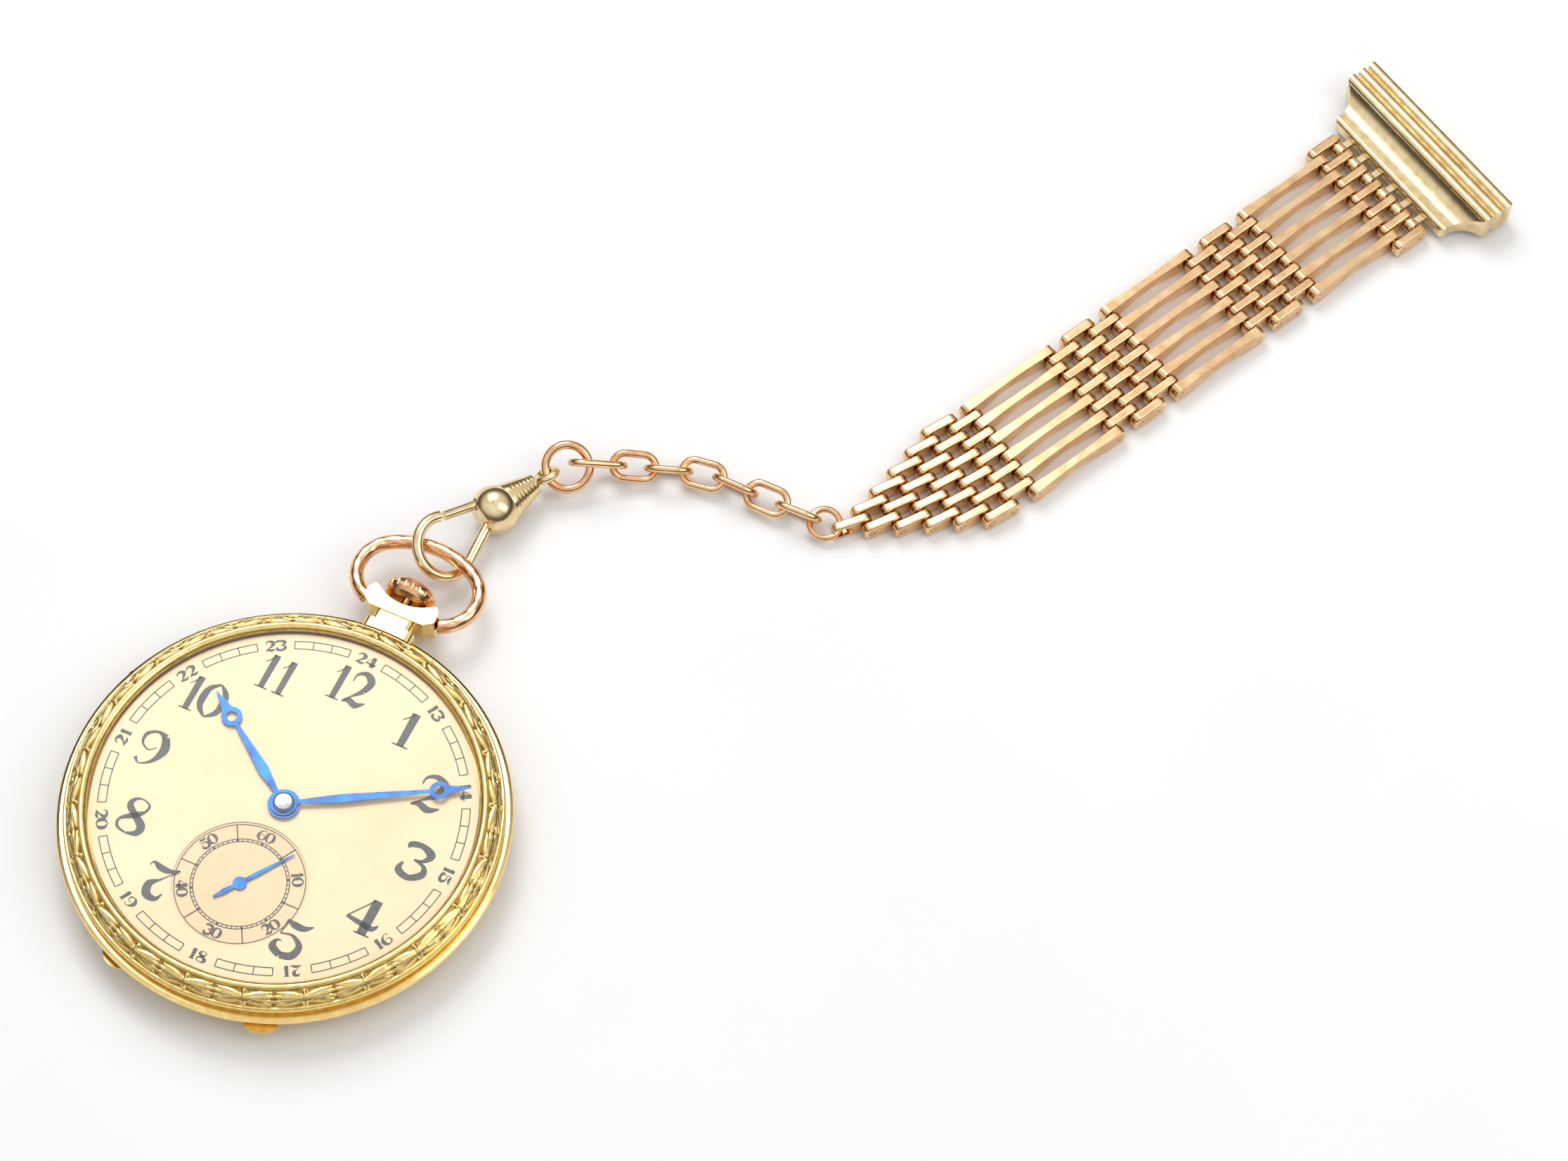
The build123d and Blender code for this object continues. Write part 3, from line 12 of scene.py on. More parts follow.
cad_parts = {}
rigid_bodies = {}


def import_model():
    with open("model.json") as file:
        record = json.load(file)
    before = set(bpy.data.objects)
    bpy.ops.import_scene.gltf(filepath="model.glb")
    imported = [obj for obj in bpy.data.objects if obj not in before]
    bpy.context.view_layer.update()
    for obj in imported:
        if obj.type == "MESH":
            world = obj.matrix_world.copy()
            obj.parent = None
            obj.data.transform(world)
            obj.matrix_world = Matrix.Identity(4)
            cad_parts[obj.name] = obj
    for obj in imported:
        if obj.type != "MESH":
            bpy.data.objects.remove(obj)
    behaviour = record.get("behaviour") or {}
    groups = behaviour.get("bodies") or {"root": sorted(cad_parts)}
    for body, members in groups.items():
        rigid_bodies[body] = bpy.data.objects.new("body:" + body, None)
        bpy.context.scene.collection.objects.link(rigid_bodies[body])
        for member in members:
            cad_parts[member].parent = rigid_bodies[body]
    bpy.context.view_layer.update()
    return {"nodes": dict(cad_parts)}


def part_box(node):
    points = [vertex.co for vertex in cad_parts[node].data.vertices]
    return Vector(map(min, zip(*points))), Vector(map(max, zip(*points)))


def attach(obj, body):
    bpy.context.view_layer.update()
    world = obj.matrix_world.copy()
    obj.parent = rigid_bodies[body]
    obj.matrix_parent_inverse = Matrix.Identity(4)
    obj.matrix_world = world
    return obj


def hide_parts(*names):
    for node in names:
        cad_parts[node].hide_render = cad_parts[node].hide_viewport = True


# Start from an empty scene.
for leftover in list(bpy.data.objects):
    bpy.data.objects.remove(leftover)

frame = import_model()
nodes = frame["nodes"]
MM = 0.001

# ---------------------------------------------------------------- sizes, in millimetres
DIAL_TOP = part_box("dial")[1].z / MM
SECONDS_CENTRE = (0.0, -10.2)
KNOTS = 22  # knots in the bezel's engraved garland
FIRST_KNOT = 163.3  # clock azimuth of one knot
RELIEF = 0.26  # height of the garland's engraving
RELIEF_MIDDLE = 0.75  # the garland height that lies on the plain bezel's surface
PAINTED_SHADE_BELOW = 0.3  # garland heights below this get painted shade: a darker gold standing for the shade in the recesses
BOW_WIRE = 0.85
BOW_TOP = 36.6  # how far the bow's centreline reaches towards the chain
BOW_HANG = radians(-2.5)
PIVOT = Vector((0, 27.7, 4.0))
CAP_R, CAP_Z = 1.0, 7.4  # the bright cap at the middle of the minute hand
TRACK_R = (19.08, 20.0)  # minute boxes, inner and outer edge
HOUR_FIGURES_R = 15.9
SMALL_FIGURES_R = 19.5
SECONDS_SCALE_R = (5.0, 5.3, 7.0)  # the two fine rings of the seconds scale, and its border
SECONDS_FIGURES_R = 6.15
CAMERA_PLACE = Vector((138.4, -194.4, 481.2))
CAMERA_AHEAD = Vector((-0.18684, 0.44672, -0.87495))
CAMERA_UP = Vector((-0.37397, 0.79123, 0.48384))
CAMERA_LENS = 112.95


# ---------------------------------------------------------------- materials
def new_material(name):
    """A material with an empty node tree but for its Principled shader, and that shader."""
    material = bpy.data.materials.new(name)
    material.use_nodes = True
    return material, material.node_tree, material.node_tree.nodes["Principled BSDF"]


def noise(tree, scale, detail=4.0, stretch=(1, 1, 1)):
    """Object-space noise, stretched along its axes. Scale is in features per metre."""
    where = tree.nodes.new("ShaderNodeTexCoord")
    mapping = tree.nodes.new("ShaderNodeMapping")
    mapping.inputs["Scale"].default_value = stretch
    texture = tree.nodes.new("ShaderNodeTexNoise")
    texture.inputs["Scale"].default_value = scale
    texture.inputs["Detail"].default_value = detail
    tree.links.new(where.outputs["Object"], mapping.inputs["Vector"])
    tree.links.new(mapping.outputs["Vector"], texture.inputs["Vector"])
    return texture.outputs["Fac"]


def ramp(tree, factor, low, high, start=0.3, end=0.7):
    """Blend two colours by a factor."""
    node = tree.nodes.new("ShaderNodeValToRGB")
    node.color_ramp.elements[0].position = start
    node.color_ramp.elements[0].color = (*low, 1)
    node.color_ramp.elements[1].position = end
    node.color_ramp.elements[1].color = (*high, 1)
    tree.links.new(factor, node.inputs["Fac"])
    return node.outputs["Color"]


def spread(tree, factor, low, high):
    """Rescale a factor to a range."""
    node = tree.nodes.new("ShaderNodeMapRange")
    node.inputs["To Min"].default_value = low
    node.inputs["To Max"].default_value = high
    tree.links.new(factor, node.inputs["Value"])
    return node.outputs["Result"]


def bump(tree, shader, height, strength, distance):
    """Roughen a shader's surface by a height."""
    node = tree.nodes.new("ShaderNodeBump")
    node.inputs["Strength"].default_value = strength
    node.inputs["Distance"].default_value = distance
    tree.links.new(height, node.inputs["Height"])
    tree.links.new(node.outputs["Normal"], shader.inputs["Normal"])


def metal(name, dark, light, rough=(0.12, 0.24), wear=900, scratch=0.12, grain=(1, 1, 1)):
    """Polished metal with cloudy tarnish, uneven polish and fine handling scratches."""
    material, tree, shader = new_material(name)
    cloud = noise(tree, wear)
    tree.links.new(ramp(tree, cloud, dark, light), shader.inputs["Base Color"])
    shader.inputs["Metallic"].default_value = 1.0
    smears = noise(tree, wear * 3.1, 6.0, grain)
    tree.links.new(spread(tree, smears, *rough), shader.inputs["Roughness"])
    bump(tree, shader, noise(tree, wear * 14, 5.0, grain), scratch, 0.00002)
    return material


YELLOW_GOLD = metal("yellow_gold", (0.84, 0.58, 0.20), (0.97, 0.74, 0.34), (0.1, 0.2))
ENGRAVED_GOLD = metal("engraved_gold", (0.80, 0.56, 0.18), (0.96, 0.76, 0.34), (0.16, 0.28), 1400)
# Painted shade: the dark gold that the bezel garland's recesses get, standing for the shade that falls
# there.
PAINTED_SHADE_GOLD = metal("painted_shade_gold", (0.30, 0.17, 0.04), (0.54, 0.35, 0.10), (0.3, 0.45), 1400, 0.3)
ROSE_GOLD = metal("rose_gold", (0.74, 0.38, 0.18), (0.95, 0.60, 0.36), (0.12, 0.24), 700)
PALE_GOLD = metal("pale_gold", (0.74, 0.56, 0.30), (0.94, 0.77, 0.48), (0.12, 0.26), 800)
LINK_GOLD = metal("link_gold", (0.76, 0.45, 0.22), (0.97, 0.69, 0.40), (0.1, 0.22), 450)
GILT = metal("gilt_plate", (0.62, 0.45, 0.20), (0.80, 0.62, 0.34), (0.28, 0.42), 1200, 0.3)
BRASS = metal("wheel_brass", (0.66, 0.47, 0.18), (0.84, 0.64, 0.30), (0.18, 0.3), 1500)
STEEL = metal("movement_steel", (0.48, 0.49, 0.51), (0.66, 0.67, 0.69), (0.14, 0.26), 1500)
BLUED = metal("blued_steel", (0.01, 0.05, 0.20), (0.015, 0.15, 0.42), (0.16, 0.3), 600, 0.06)
CAP_STEEL = metal("cap_steel", (0.62, 0.64, 0.66), (0.82, 0.83, 0.85), (0.1, 0.2), 2000)


def dial_material(name, dark, light):
    """Champagne lacquer over a grained metal dial, with faint age spots."""
    material, tree, shader = new_material(name)
    cloud = noise(tree, 120, 8.0)
    tree.links.new(ramp(tree, cloud, dark, light, 0.25, 0.75), shader.inputs["Base Color"])
    shader.inputs["Metallic"].default_value = 0.35
    tree.links.new(spread(tree, noise(tree, 3000, 3.0), 0.34, 0.46), shader.inputs["Roughness"])
    bump(tree, shader, noise(tree, 16000, 2.0), 0.08, 0.00001)
    return material


DIAL = dial_material("dial_champagne", (0.80, 0.60, 0.35), (0.87, 0.68, 0.43))
SECONDS_DIAL = dial_material("seconds_champagne", (0.72, 0.52, 0.30), (0.80, 0.60, 0.36))


def ink_material():
    """Dark gunmetal printing ink."""
    material, tree, shader = new_material("printed_ink")
    tree.links.new(
        ramp(tree, noise(tree, 2600), (0.012, 0.014, 0.018), (0.05, 0.055, 0.065)),
        shader.inputs["Base Color"],
    )
    shader.inputs["Roughness"].default_value = 0.35
    return material


INK = ink_material()


def glass_material():
    """Clear glass: mostly see-through, with hairline scratches in its polish."""
    material, tree, shader = new_material("crystal_glass")
    cloud = noise(tree, 300)
    tree.links.new(ramp(tree, cloud, (0.93, 0.95, 0.95), (1, 1, 1)), shader.inputs["Base Color"])
    tree.links.new(spread(tree, noise(tree, 900, 8.0, (9, 1, 1)), 0.01, 0.05), shader.inputs["Roughness"])
    shader.inputs["Alpha"].default_value = 0.06
    return material


GLASS = glass_material()


def dress(names, material):
    """Give CAD nodes a finish."""
    for name in names.split():
        node = nodes[name]
        node.data.materials.clear()
        node.data.materials.append(material)
        for face in node.data.polygons:
            face.material_index = 0


dress("case_band bezel case_back hinge_pin", YELLOW_GOLD)
dress("cuvette", YELLOW_GOLD)
dress("bow crown large_ring chain_link_2 chain_link_5 small_ring", ROSE_GOLD)
dress("chain_link_1 chain_link_3 chain_link_4 chain_link_6 chain_link_7", LINK_GOLD)
dress("swivel_body swivel_eye swivel_gate swivel_hook fob_clasp fob_clip", PALE_GOLD)
dress("fob_tip fob_panel_1 fob_panel_2 fob_panel_3 fob_end_row", LINK_GOLD)
dress("fob_gates_1 fob_gates_2 fob_gates_3", LINK_GOLD)
dress("mainplate barrel_bridge train_bridge balance_cock pallet_cock", GILT)
dress("barrel centre_wheel third_wheel fourth_wheel balance_wheel minute_wheel hour_wheel", BRASS)
dress("winding_stem clutch_wheel winding_pinion crown_wheel ratchet_wheel click barrel_arbor", STEEL)
dress("escape_wheel pallet_fork cannon_pinion mainspring", STEEL)
dress("hairspring movement_screws hour_hand minute_hand seconds_hand", BLUED)
dress("dial", DIAL)
dress("crystal", GLASS)
hand = nodes["minute_hand"].data
hand.materials.append(CAP_STEEL)
for face in hand.polygons:
    spot = face.center
    if spot.xy.length < CAP_R * MM and spot.z > CAP_Z * MM:
        face.material_index = 1


# ---------------------------------------------------------------- mesh helpers
def add_mesh(name, points, faces, material, body, smooth=True):
    """A new piece in millimetres, riding on a body."""
    mesh = bpy.data.meshes.new(name)
    mesh.from_pydata([tuple(c * MM for c in p) for p in points], [], faces)
    mesh.materials.append(material)
    if smooth:
        mesh.polygons.foreach_set("use_smooth", [True] * len(faces))
    piece = bpy.data.objects.new(name, mesh)
    bpy.context.scene.collection.objects.link(piece)
    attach(piece, body)
    return piece


def grid_faces(rows, columns, close_rows=True, close_columns=True):
    """Quads of a grid of points that wraps in either direction."""
    faces = []
    for i in range(rows if close_rows else rows - 1):
        for j in range(columns if close_columns else columns - 1):
            k, m = (i + 1) % rows, (j + 1) % columns
            faces.append((i * columns + j, i * columns + m, k * columns + m, k * columns + j))
    return faces


def polar(radius, azimuth, z):
    """A point at a clock azimuth, in degrees from 12 o'clock."""
    a = radians(azimuth)
    return (radius * sin(a), radius * cos(a), z)


def bell(x, width):
    """A smooth hump, 1 at the middle and 0 beyond its width."""
    t = abs(x) / width
    return (1 - t * t) ** 2 if t < 1 else 0.0


# ---------------------------------------------------------------- engraved bezel
BEZEL_OUTLINE = (  # radius, height, and how far the engraving stands here
    (21.05, 6.63, 0), (21.05, 6.95, 0), (21.22, 7.25, 0), (21.56, 7.46, 0), (21.8, 7.44, 0),
    (21.93, 7.36, 0), (21.99, 7.24, 0), (22.12, 7.2, 1), (22.3, 7.12, 1), (22.5, 7.02, 1),
    (22.68, 6.92, 1), (22.86, 6.8, 1), (23.02, 6.66, 1), (23.17, 6.51, 1), (23.3, 6.35, 1),
    (23.42, 6.18, 1), (23.5, 6.02, 1), (23.56, 5.88, 0), (23.68, 5.84, 0), (23.76, 5.7, 0),
    (23.79, 5.3, 0), (23.74, 4.87, 0), (22.66, 4.87, 0), (22.66, 6.04, 0), (21.51, 6.06, 0),
    (21.49, 6.62, 0),
)


def garland(turn, across):
    """Height of the laurel garland, 0..1. turn counts knots; across runs 0..1 over the band."""
    knot = turn - round(turn)
    height = 0.0
    for side in (-1, 1):
        for lean, reach in ((0.62, 0.46), (0.26, 0.5), (-0.1, 0.42)):
            along = side * knot
            if 0.02 < along < reach:
                t = along / reach
                middle = 0.5 + side * lean * (0.25 + 0.6 * t) * (1 if side > 0 else -1) * 0.62
                leaf = bell(across - middle, 0.05 + 0.15 * sin(pi * t) ** 0.8)
                vein = 0.35 * bell(across - middle, 0.03)
                height = max(height, leaf * (0.95 - 0.25 * t) - vein)
                mirrored = 1 - middle
                leaf = bell(across - mirrored, 0.05 + 0.15 * sin(pi * t) ** 0.8)
                vein = 0.35 * bell(across - mirrored, 0.03)
                height = max(height, leaf * (0.95 - 0.25 * t) - vein)
    for spot in (0.16, 0.84):
        berry = ((knot * 6.56) ** 2 + ((across - spot) * 1.95) ** 2) ** 0.5
        height = max(height, 1.1 * bell(berry, 0.32))
    band = bell(knot, 0.05) * (1 if abs(across - 0.5) < 0.3 else 0)
    return max(height, 1.05 * band)


def fine_outline(points, steps=4):
    """More points along the engraved part of the outline."""
    fine = []
    for (r0, z0, e0), (r1, z1, e1) in zip(points, points[1:] + points[:1]):
        count = steps if e0 or e1 else 1
        for k in range(count):
            t = k / count
            fine.append((r0 + (r1 - r0) * t, z0 + (z1 - z0) * t, e0 + (e1 - e0) * t))
    return fine


def build_bezel():
    """The bezel with its engraved laurel garland, with painted shade in the recesses."""
    outline = fine_outline(BEZEL_OUTLINE)
    engraved = [p for p in outline if p[2] > 0]
    first, last = outline.index(engraved[0]), outline.index(engraved[-1])
    columns = KNOTS * 60
    points, shade_depths = [], []
    for i, (radius, height, amount) in enumerate(outline):
        across = (i - first) / (last - first)
        for j in range(columns):
            azimuth = FIRST_KNOT + 360 * j / columns
            relief, shade_depth = 0.0, 0.0
            if amount > 0:
                height_here = garland(KNOTS * j / columns, across)
                relief = (height_here - RELIEF_MIDDLE) * RELIEF * amount
                # painted shade mask: how far this garland point lies below the painted-shade threshold
                shade_depth = max(0.0, PAINTED_SHADE_BELOW - height_here) if amount == 1 else 0.0
            shade_depths.append(shade_depth)
            points.append(polar(radius + relief * 0.55, azimuth, height + relief * 0.8))
    faces = grid_faces(len(outline), columns)
    bezel = add_mesh("bezel_engraved", points, faces, ENGRAVED_GOLD, "case")
    bezel.data.materials.append(PAINTED_SHADE_GOLD)
    # Faces lying wholly in the garland's recesses get the dark gold of painted shade.
    for face, corners in zip(bezel.data.polygons, faces):
        if min(shade_depths[c] for c in corners) > 0:
            face.material_index = 1
    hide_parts("bezel")


build_bezel()


# ---------------------------------------------------------------- engraved bow
def bow_path():
    """Centreline of the bow, in its own plane, from the right pivot round to the left one."""
    top_r, side_r, lean = 10.0, 4.2, radians(30)
    shoulder = Vector((top_r * sin(lean), BOW_TOP - top_r * (1 - cos(lean))))
    side = shoulder - Vector((side_r * sin(lean), side_r * cos(lean)))
    right, top = [], []
    for k in range(61):
        a = radians(-69 + (60 + 69) * k / 60)
        right.append(side + Vector((side_r * cos(a), side_r * sin(a))))
    for k in range(1, 80):
        a = radians(60 + 60 * k / 80)
        top.append(Vector((top_r * cos(a), BOW_TOP - top_r + top_r * sin(a))))
    left = [Vector((-p.x, p.y)) for p in reversed(right)]
    return right + top + left


def build_bow():
    """The bow, a wire with leaves engraved along it."""
    path = bow_path()
    around = 48
    hang = Matrix.Rotation(BOW_HANG, 3, "X")
    points = []
    travelled = 0.0
    for i, spot in enumerate(path):
        ahead = path[min(i + 1, len(path) - 1)] - path[max(i - 1, 0)]
        ahead.normalize()
        outward = Vector((ahead.y, -ahead.x, 0))
        if i:
            travelled += (spot - path[i - 1]).length
        for j in range(around):
            a = 2 * pi * j / around
            step = (travelled / 1.9) % 1.0
            leaf = bell(abs(((a / pi) % 1.0) - 0.5) - 0.16 * (1 - step), 0.16) * sin(pi * step) ** 0.5
            radius = BOW_WIRE * (0.95 + 0.075 * leaf)
            local = Vector((spot.x, spot.y - PIVOT.y, 0)) + outward * (radius * cos(a))
            local.z += radius * sin(a)
            points.append(tuple(PIVOT + hang @ local))
    faces = grid_faces(len(path), around, close_rows=False)
    faces.append(tuple(range(around))[::-1])
    faces.append(tuple((len(path) - 1) * around + j for j in range(around)))
    bow = add_mesh("bow_engraved", points, faces, ROSE_GOLD, "pendant_bow")
    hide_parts("bow")


build_bow()


# ---------------------------------------------------------------- dial printing
PRINT_Z = DIAL_TOP + 0.02
SECONDS_Z = DIAL_TOP - 0.11
ink_points, ink_faces = [], []


def ink_patch(corners, z):
    """A flat printed quad."""
    base = len(ink_points)
    ink_points.extend((x, y, z) for x, y in corners)
    ink_faces.append((base, base + 1, base + 2, base + 3))


def ink_ring(radius, width, start=0.0, end=360.0, centre=(0.0, 0.0), z=PRINT_Z):
    """A printed arc between two clock azimuths."""
    steps = max(2, int((end - start) / 1.5))
    for k in range(steps):
        a, b = (start + (end - start) * (k + e) / steps for e in (0, 1))
        corners = []
        for azimuth, edge in ((a, -1), (a, 1), (b, 1), (b, -1)):
            x, y, _ = polar(radius + edge * width / 2, azimuth, 0)
            corners.append((centre[0] + x, centre[1] + y))
        ink_patch(corners[::-1], z)


def ink_tick(azimuth, r0, r1, width, centre=(0.0, 0.0), z=PRINT_Z):
    """A printed radial line."""
    a = radians(azimuth)
    along, side = Vector((sin(a), cos(a))), Vector((cos(a), -sin(a))) * (width / 2)
    middle = Vector(centre)
    inner, outer = middle + along * r0, middle + along * r1
    ink_patch([tuple(p) for p in (inner - side, inner + side, outer + side, outer - side)], z)


LINE = 0.12


def minute_track():
    """Five-minute runs of boxes between the small hour figures."""
    for hour in range(12):
        start, end = hour * 30 + 6, hour * 30 + 24
        ink_ring(TRACK_R[1], LINE, start, end)
        ink_ring(TRACK_R[0], LINE, start, end)
        for minute in range(4):
            ink_tick(start + 6 * minute, *TRACK_R, LINE)


def seconds_track():
    """Rings and ticks of the seconds scale, with a bar between each two of its figures."""
    inner, outer, border = SECONDS_SCALE_R
    for radius in (border, outer, inner):
        ink_ring(radius, 0.1, centre=SECONDS_CENTRE, z=SECONDS_Z)
    for second in range(60):
        width = 0.3 if second % 5 == 0 else 0.1
        ink_tick(second * 6, inner, outer, width, SECONDS_CENTRE, SECONDS_Z)
    for second in range(5, 60, 10):
        ink_tick(second * 6, outer, border, 0.14, SECONDS_CENTRE, SECONDS_Z)


# Each figure is drawn one unit high, as strokes of (across, up, width of the pen).
ZERO = (
    ((0.38, 1.0, 0.04), (0.1, 0.78, 0.14), (0.04, 0.5, 0.19), (0.1, 0.22, 0.14), (0.38, 0.0, 0.04)),
    ((0.38, 0.0, 0.04), (0.66, 0.22, 0.14), (0.72, 0.5, 0.19), (0.66, 0.78, 0.14), (0.38, 1.0, 0.04)),
)
ONE = (
    ((0.3, 1.0, 0.17), (0.3, 0.0, 0.15)),
    ((0.28, 0.98, 0.04), (0.16, 0.82, 0.03), (0.04, 0.72, 0.02)),
    ((0.08, 0.015, 0.03), (0.52, 0.015, 0.03)),
)
TWO = (
    ((0.06, 0.66, 0.03), (0.1, 0.88, 0.06), (0.36, 0.98, 0.12), (0.62, 0.8, 0.19), (0.52, 0.5, 0.14)),
    ((0.52, 0.5, 0.14), (0.26, 0.26, 0.05), (0.04, 0.05, 0.03)),
    ((0.04, 0.04, 0.04), (0.22, 0.13, 0.12), (0.5, 0.06, 0.14), (0.76, 0.2, 0.03)),
)
THREE = (
    (
        (0.06, 0.78, 0.03), (0.08, 0.9, 0.13), (0.36, 0.96, 0.12),
        (0.66, 0.82, 0.17), (0.56, 0.6, 0.08), (0.32, 0.54, 0.03),
    ),
    (
        (0.32, 0.54, 0.03), (0.62, 0.46, 0.08), (0.68, 0.24, 0.15),
        (0.4, 0.04, 0.13), (0.08, 0.14, 0.14), (0.1, 0.38, 0.04),
    ),
)
FOUR = (
    ((0.5, 1.0, 0.03), (0.02, 0.36, 0.03)),
    ((0.0, 0.34, 0.07), (0.4, 0.28, 0.11), (0.72, 0.25, 0.11), (0.84, 0.4, 0.02)),
    ((0.54, 1.0, 0.19), (0.54, 0.0, 0.19)),
    ((0.34, 0.015, 0.03), (0.76, 0.015, 0.03)),
)
FIVE = (
    ((0.12, 0.97, 0.04), (0.32, 0.9, 0.14), (0.58, 0.9, 0.12), (0.78, 1.04, 0.02)),
    ((0.12, 0.98, 0.03), (0.1, 0.56, 0.03)),
    ((0.1, 0.56, 0.03), (0.4, 0.62, 0.06), (0.68, 0.42, 0.13), (0.62, 0.12, 0.16), (0.34, 0.02, 0.14)),
    ((0.34, 0.02, 0.14), (0.08, 0.16, 0.15), (0.1, 0.36, 0.06), (0.22, 0.38, 0.02)),
)
SIX = (
    ((0.66, 0.86, 0.08), (0.5, 0.99, 0.03), (0.22, 0.8, 0.08), (0.08, 0.42, 0.18), (0.2, 0.08, 0.15)),
    (
        (0.2, 0.08, 0.15), (0.44, 0.01, 0.06), (0.68, 0.16, 0.08),
        (0.68, 0.42, 0.05), (0.46, 0.56, 0.03), (0.28, 0.42, 0.02),
    ),
)
SEVEN = (
    ((0.02, 0.84, 0.02), (0.08, 0.96, 0.05), (0.3, 0.88, 0.14), (0.56, 0.88, 0.1), (0.78, 1.0, 0.02)),
    (
        (0.78, 1.0, 0.02), (0.46, 0.6, 0.04), (0.24, 0.38, 0.15),
        (0.3, 0.1, 0.17), (0.56, 0.06, 0.1), (0.66, 0.26, 0.02),
    ),
)
EIGHT = (
    (
        (0.38, 0.53, 0.13), (0.14, 0.74, 0.13), (0.2, 0.94, 0.07),
        (0.4, 1.0, 0.03), (0.6, 0.9, 0.05), (0.58, 0.7, 0.06),
    ),
    ((0.58, 0.7, 0.06), (0.38, 0.53, 0.13), (0.08, 0.3, 0.06), (0.12, 0.08, 0.06), (0.38, 0.0, 0.04)),
    ((0.38, 0.0, 0.04), (0.64, 0.1, 0.13), (0.66, 0.32, 0.17), (0.38, 0.53, 0.13)),
)
NINE = tuple(tuple((0.76 - x, 1 - y, w) for x, y, w in stroke) for stroke in SIX)
FIGURES = (ZERO, ONE, TWO, THREE, FOUR, FIVE, SIX, SEVEN, EIGHT, NINE)


def curve_through(knots, steps=7):
    """A smooth run through a stroke's points."""
    if len(knots) == 2:
        return list(knots)
    ends = (knots[0], *knots, knots[-1])
    run = []
    for k in range(1, len(ends) - 2):
        a, b, c, d = ends[k - 1 : k + 3]
        for step in range(steps):
            t = step / steps
            run.append(
                tuple(
                    q
                    + t * (r - p) / 2
                    + t**2 * (p - 2.5 * q + 2 * r - s / 2)
                    + t**3 * (1.5 * (q - r) + (s - p) / 2)
                    for p, q, r, s in zip(a, b, c, d)
                )
            )
    return [*run, knots[-1]]


def figure(text, spot, turn, height, wide, z, weight=1.3):
    """A number centred on a spot, its head turned clockwise from 12 o'clock."""
    widths = [0.6 if digit == "1" else 0.82 for digit in text]
    start = -sum(widths) / 2
    spin = Matrix.Rotation(radians(-turn), 2)
    for digit, width in zip(text, widths):
        for stroke in FIGURES[int(digit)]:
            run = curve_through(stroke)
            base = len(ink_points)
            for k, (across, up, pen) in enumerate(run):
                here = Vector((across, up))
                ahead = Vector(run[min(k + 1, len(run) - 1)][:2]) - Vector(run[max(k - 1, 0)][:2])
                side = Vector((-ahead.y, ahead.x)).normalized() * (pen * weight / 2)
                for edge in (here - side, here + side):
                    p = spin @ Vector(((edge.x + start) * wide * height, (edge.y - 0.5) * height))
                    ink_points.append((p.x + spot[0], p.y + spot[1], z))
            for k in range(len(run) - 1):
                m = base + 2 * k
                ink_faces.append((m, m + 2, m + 3, m + 1))
        start += width


def dial_print():
    """All the printing on the dial, as one piece."""
    minute_track()
    seconds_track()
    for hour in range(1, 13):
        x, y, _ = polar(HOUR_FIGURES_R, hour * 30, 0)
        if hour != 6:
            figure(str(hour), (x, y), 0, 4.3, 1.0 if hour < 10 else 0.8, PRINT_Z)
        x, y, _ = polar(SMALL_FIGURES_R, hour * 30, 0)
        head = hour * 30 + (180 if 4 <= hour <= 8 else 0)
        figure(str(hour + 12), (x, y), head, 1.25, 1.15, PRINT_Z, 1.7)
    for second in range(10, 61, 10):
        x, y, _ = polar(SECONDS_FIGURES_R, second * 6, 0)
        head = second * 6 + (180 if 20 <= second <= 40 else 0)
        figure(str(second), (x + SECONDS_CENTRE[0], y + SECONDS_CENTRE[1]), head, 1.25, 0.95, SECONDS_Z, 1.6)
    print_mesh = add_mesh("dial_print", ink_points, ink_faces, INK, "case", smooth=False)


dial_print()


def seconds_disc():
    """The sunk seconds dial with its turned rings."""
    rings = [7.28, 7.2] + [7.2 - 0.2 * k for k in range(1, 34)] + [0.45]
    points, columns = [], 180
    for k, r in enumerate(rings):
        for j in range(columns):
            x, y, _ = polar(r, 2 * j, 0)
            ripple = 0.004 if k % 2 else 0.0
            points.append((x, y + SECONDS_CENTRE[1], SECONDS_Z - 0.03 + ripple))
    faces = grid_faces(len(rings), columns, close_rows=False)
    disc = add_mesh("seconds_disc", points, faces, SECONDS_DIAL, "case", smooth=False)


seconds_disc()


# ---------------------------------------------------------------- floor, light and camera
def build_stage():
    """A plain pale floor."""
    bpy.ops.mesh.primitive_plane_add(size=3, location=(0, 0, -0.00005))
    floor = bpy.context.object
    floor.name = "floor"
    material, tree, shader = new_material("floor_white")
    tree.links.new(
        ramp(tree, noise(tree, 30), (0.90, 0.905, 0.91), (0.92, 0.92, 0.92)), shader.inputs["Base Color"]
    )
    shader.inputs["Roughness"].default_value = 0.8
    floor.data.materials.append(material)


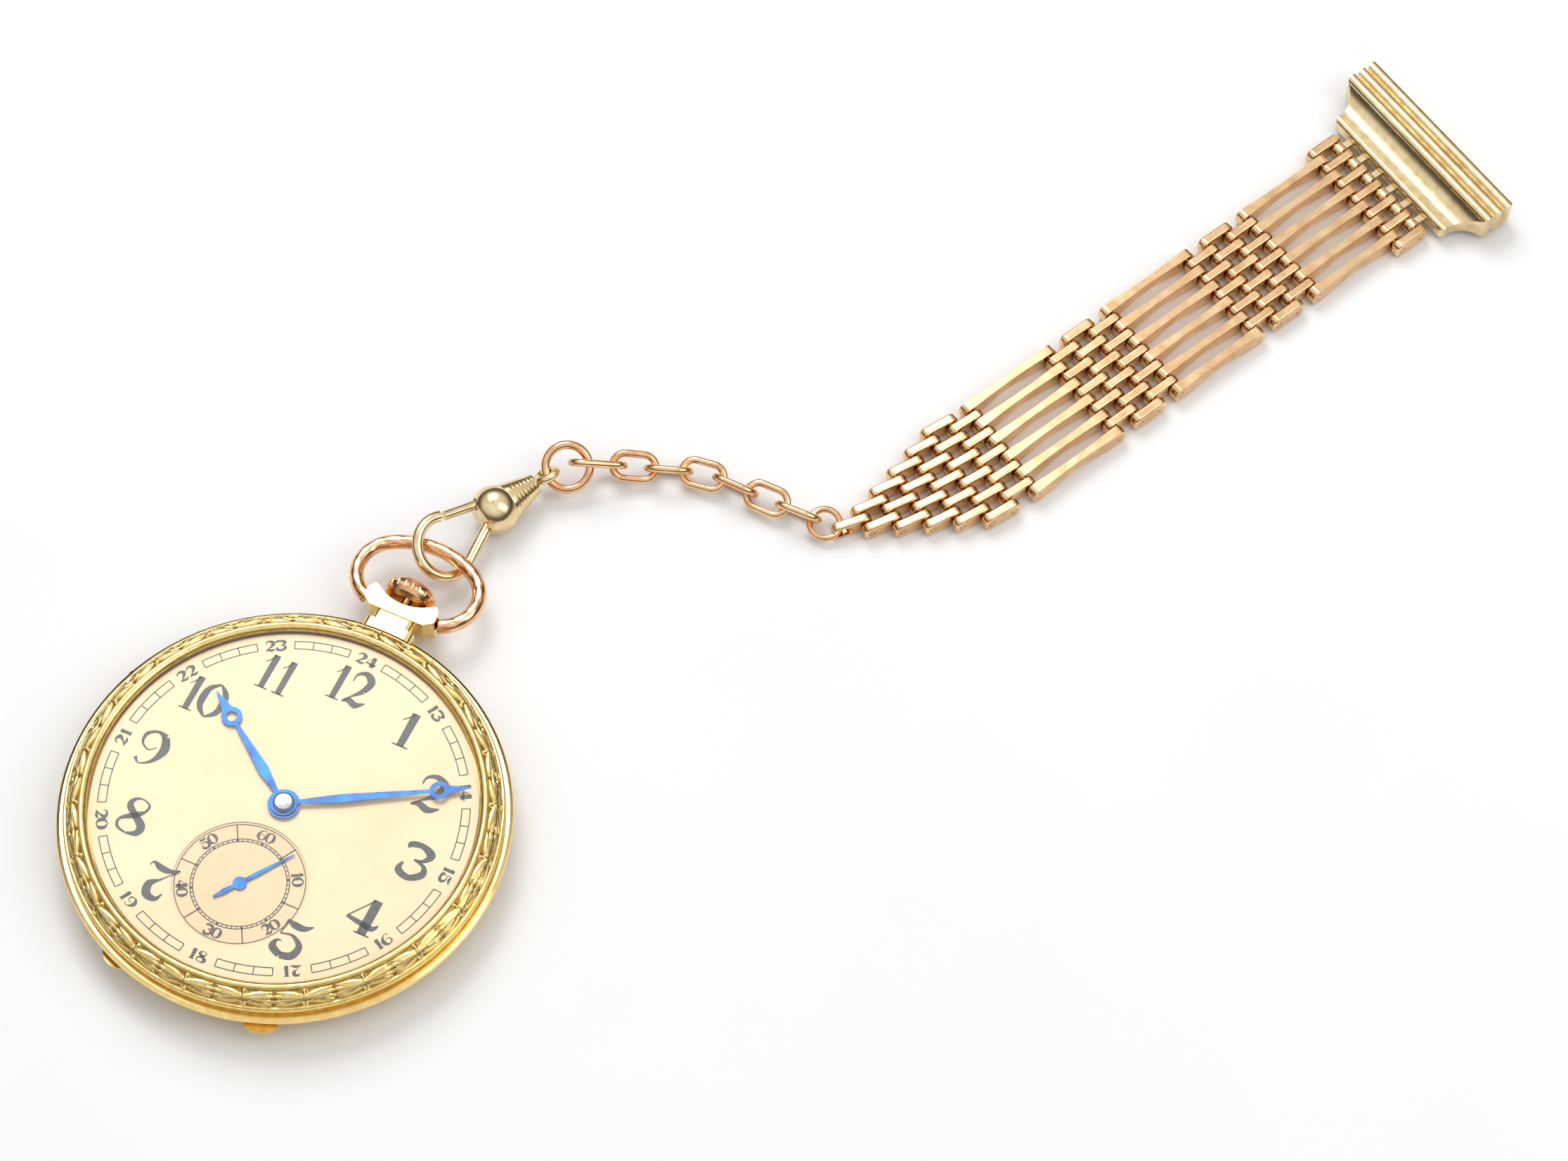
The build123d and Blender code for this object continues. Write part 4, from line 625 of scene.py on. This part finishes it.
def softbox(name, place, aim, size, power):
    """A rectangular light that faces a point."""
    data = bpy.data.lights.new(name, "AREA")
    data.shape = "RECTANGLE"
    data.size, data.size_y = size
    data.energy = power
    lamp = bpy.data.objects.new(name, data)
    lamp.location = place
    lamp.rotation_euler = (Vector(aim) - Vector(place)).to_track_quat("-Z", "Y").to_euler()
    bpy.context.scene.collection.objects.link(lamp)


def build_world():
    """A soft white dome that darkens towards the horizon, for the metal to reflect."""
    world = bpy.data.worlds.new("studio")
    bpy.context.scene.world = world
    world.use_nodes = True
    tree = world.node_tree
    where = tree.nodes.new("ShaderNodeTexCoord")
    split = tree.nodes.new("ShaderNodeSeparateXYZ")
    shade = tree.nodes.new("ShaderNodeValToRGB")
    stops = shade.color_ramp.elements
    stops[0].position, stops[0].color = 0.0, (0.03, 0.02, 0.015, 1)
    stops[1].position, stops[1].color = 0.66, (1.0, 1.0, 1.0, 1)
    low = stops.new(0.34)
    low.color = (0.16, 0.14, 0.12, 1)
    tree.links.new(where.outputs["Generated"], split.inputs["Vector"])
    tree.links.new(split.outputs["Z"], shade.inputs["Fac"])
    tree.links.new(shade.outputs["Color"], tree.nodes["Background"].inputs["Color"])
    tree.nodes["Background"].inputs["Strength"].default_value = 0.9


def build_camera():
    """The camera stands high to the lower right of the watch and looks down at 61 degrees."""
    data = bpy.data.cameras.new("camera")
    data.sensor_width = 36.0
    data.lens = CAMERA_LENS
    data.clip_start = 0.01
    camera = bpy.data.objects.new("camera", data)
    ahead = CAMERA_AHEAD.normalized()
    up = CAMERA_UP.normalized()
    right = ahead.cross(up)
    turn = Matrix((right, up, -ahead)).transposed().to_4x4()
    camera.matrix_world = Matrix.Translation(CAMERA_PLACE * MM) @ turn
    bpy.context.scene.collection.objects.link(camera)
    bpy.context.scene.camera = camera


bpy.context.scene.view_settings.view_transform = "Standard"
build_stage()
build_world()
softbox("key", (-0.25, 0.35, 0.55), (0.03, 0.05, 0), (0.35, 0.35), 1.7)
softbox("fill", (0.45, 0.1, 0.5), (0.03, 0.05, 0), (0.3, 0.5), 0.8)
build_camera()
